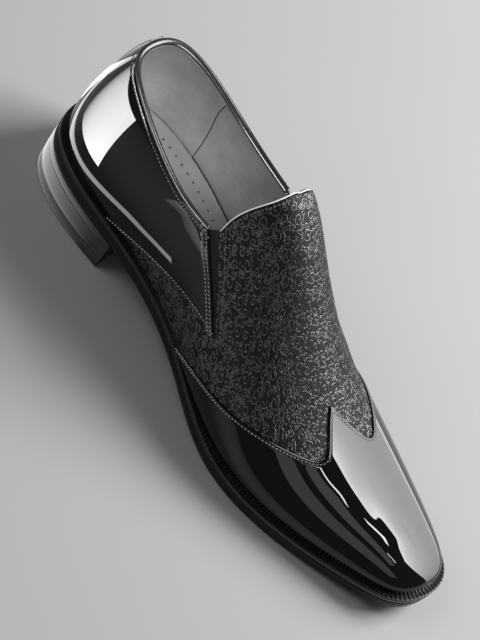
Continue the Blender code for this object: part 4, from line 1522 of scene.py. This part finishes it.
def over_face(light):
    """The tree of a light with the places along and up its face, from 0 to 1."""
    light.use_nodes = True
    tree = light.node_tree
    place = put(tree, "ShaderNodeNewGeometry")
    parts = put(tree, "ShaderNodeSeparateXYZ", {}, {"Vector": place.outputs["Parametric"]})
    return tree, parts.outputs["X"], parts.outputs["Y"]


def graded(light, low):
    """Lets a light fade to a share of its radiance at its lower edge."""
    tree, _, up = over_face(light)
    share = put(tree, "ShaderNodeMapRange", {}, {"Value": up, "To Min": low})
    feed(tree, tree.nodes["Emission"].inputs["Strength"], share.outputs["Result"])


def fanned(light, apex, full, none):
    """Lets a panel fade away from its long edge over a fan of slopes from a point before its near end."""
    tree, along, up = over_face(light)
    ahead = math_node(tree, "ADD", math_node(tree, "MULTIPLY", along, light.size), apex)
    slope = math_node(tree, "DIVIDE", math_node(tree, "MULTIPLY", up, light.size_y), ahead)
    share = put(tree, "ShaderNodeMapRange", {}, {
        "Value": slope, "From Min": full, "From Max": none, "To Min": 1.0, "To Max": 0.0})
    feed(tree, tree.nodes["Emission"].inputs["Strength"], share.outputs["Result"])


def only_these(name, pieces):
    """A collection of pieces that a light can be kept to."""
    chosen = bpy.data.collections.new(name)
    for piece in pieces:
        chosen.objects.link(bpy.data.objects[piece])
    return chosen


glossy_names = ["wing_cap_patent", "quarter_patent_lateral", "quarter_patent_medial", "back_strip_patent"]
glossy = only_these("glossy_pieces", glossy_names)
binding = only_these("binding_pieces", ["topline_binding", "stitches_on_patent"])
cloth_names = ["vamp", "jacquard_scrolls"]
cloth_pieces = only_these("cloth_pieces", cloth_names)
heel = only_these("heel_pieces", ["heel_block", "rubber_top_lift"])
matte = only_these("matte_pieces", [
    piece.name for piece in bpy.context.scene.objects
    if piece.type == "MESH" and piece.name not in glossy_names + cloth_names])
# The tongue's cord, a painted highlight, is lit with the pale pieces
pale = only_these("pale_pieces", ["insole_sock", "lining", "tongue_highlight_cord"])

# Boxes: name, place, point that each faces, width, height, radiance, pieces that it lights
soft_box("key_box", (0.45, 0.95, 0.95), (0.0, 0.0, 0.04), 0.8, 0.8, 11.0, matte)
soft_box("fill_box", (-0.9, -0.9, 1.3), (0.0, 0.0, 0.04), 0.9, 0.9, 1.6, matte)
soft_box("opening_box", (0.33, -0.28, 0.78), (-0.08, 0.0, 0.06), 0.5, 0.5, 7.0, pale)
soft_box("binding_box", (-0.35, -1.0, 0.95), (-0.08, 0.0, 0.08), 0.9, 0.6, 16.0, binding)
soft_box("binding_front_box", (0.75, -0.45, 0.65), (-0.08, 0.0, 0.08), 0.8, 0.4, 14.0, binding)
soft_box("cloth_key_box", (0.45, 0.95, 0.95), (0.0, 0.0, 0.04), 0.8, 0.8, 14.0, cloth_pieces)
soft_box("cloth_side_box", (0.15, -1.2, 0.12), (0.02, 0.0, 0.04), 0.8, 0.2, 3.4, cloth_pieces)
soft_box("heel_box", (-0.75, -0.25, 0.30), (-0.11, 0.0, 0.02), 0.5, 0.5, 8.0, heel)
graded(soft_box("toe_wall", (0.65, 1.0, 1.5), (0.65, 0.0, 1.5), 1.9, 3.0, 18.0, glossy), low=0.14)

# Boxes and strips over the toe: name, place, width, height, radiance, turn in degrees
overhead("toe_side_panel", (0.80, -0.68, 1.0), 0.80, 0.44, 0.8)
overhead("toe_lobe_panel", (0.51, -0.215, 1.0), 0.26, 0.17, 1.0)
overhead("toe_strip_upper", (0.537, -0.061, 1.01), 0.018, 0.14, 22.0, -63.4)
overhead("toe_strip_lower", (0.372, 0.122, 1.01), 0.022, 0.093, 22.0, 36.3)

# Panels: name, middle, height over the floor, heading, length, width, radiance, pieces that mirror it
graded(floor_panel("heel_stack_panel", (-0.160, -0.030), 0.0008, -90.0, 0.13, 0.14, 4.6, heel), low=0.0)
floor_panel("toe_floor_panel", (0.20, 0.60), 0.002, 0.0, 1.0, 0.7, 3.0, glossy)
heel_fan = floor_panel("heel_fan_panel", (-0.985, -0.424), 0.002, -113.1, 1.3, 1.3, 19.0, glossy)
fanned(heel_fan, apex=0.05, full=0.15, none=1.65)
floor_panel("heel_back_panel", (-0.315, 0.030), 0.004, 180.0, 0.27, 0.040, 4.0, glossy)
floor_panel("heel_rim_strip", (-0.197, -0.0155), 0.006, 154.0, 0.112, 0.013, 3.5, glossy)
floor_panel("heel_foot_strip", (-0.108, -0.063), 0.006, -26.6, 0.10, 0.007, 3.5, glossy)
quarter_front = floor_panel("quarter_front_panel", (-0.072, -0.36), 0.002, 0.0, 0.045, 0.32, 9.0, glossy)
graded(quarter_front, low=0.06)

camera_data = bpy.data.cameras.new("camera")
camera_data.lens = CAMERA_LENS
camera_data.sensor_width = CAMERA_SENSOR
camera = bpy.data.objects.new("camera", camera_data)
back = unit(CAMERA_PLACE - CAMERA_AIM)
level = unit(np.cross([0.0, 0.0, 1.0], back))
upright = np.cross(back, level)
right = level * math.cos(CAMERA_ROLL) + upright * math.sin(CAMERA_ROLL)
up = upright * math.cos(CAMERA_ROLL) - level * math.sin(CAMERA_ROLL)
pose = np.eye(4)
pose[:3, 0], pose[:3, 1], pose[:3, 2], pose[:3, 3] = right, up, back, CAMERA_PLACE
camera.matrix_world = Matrix(pose.tolist())
bpy.context.scene.collection.objects.link(camera)
bpy.context.scene.camera = camera
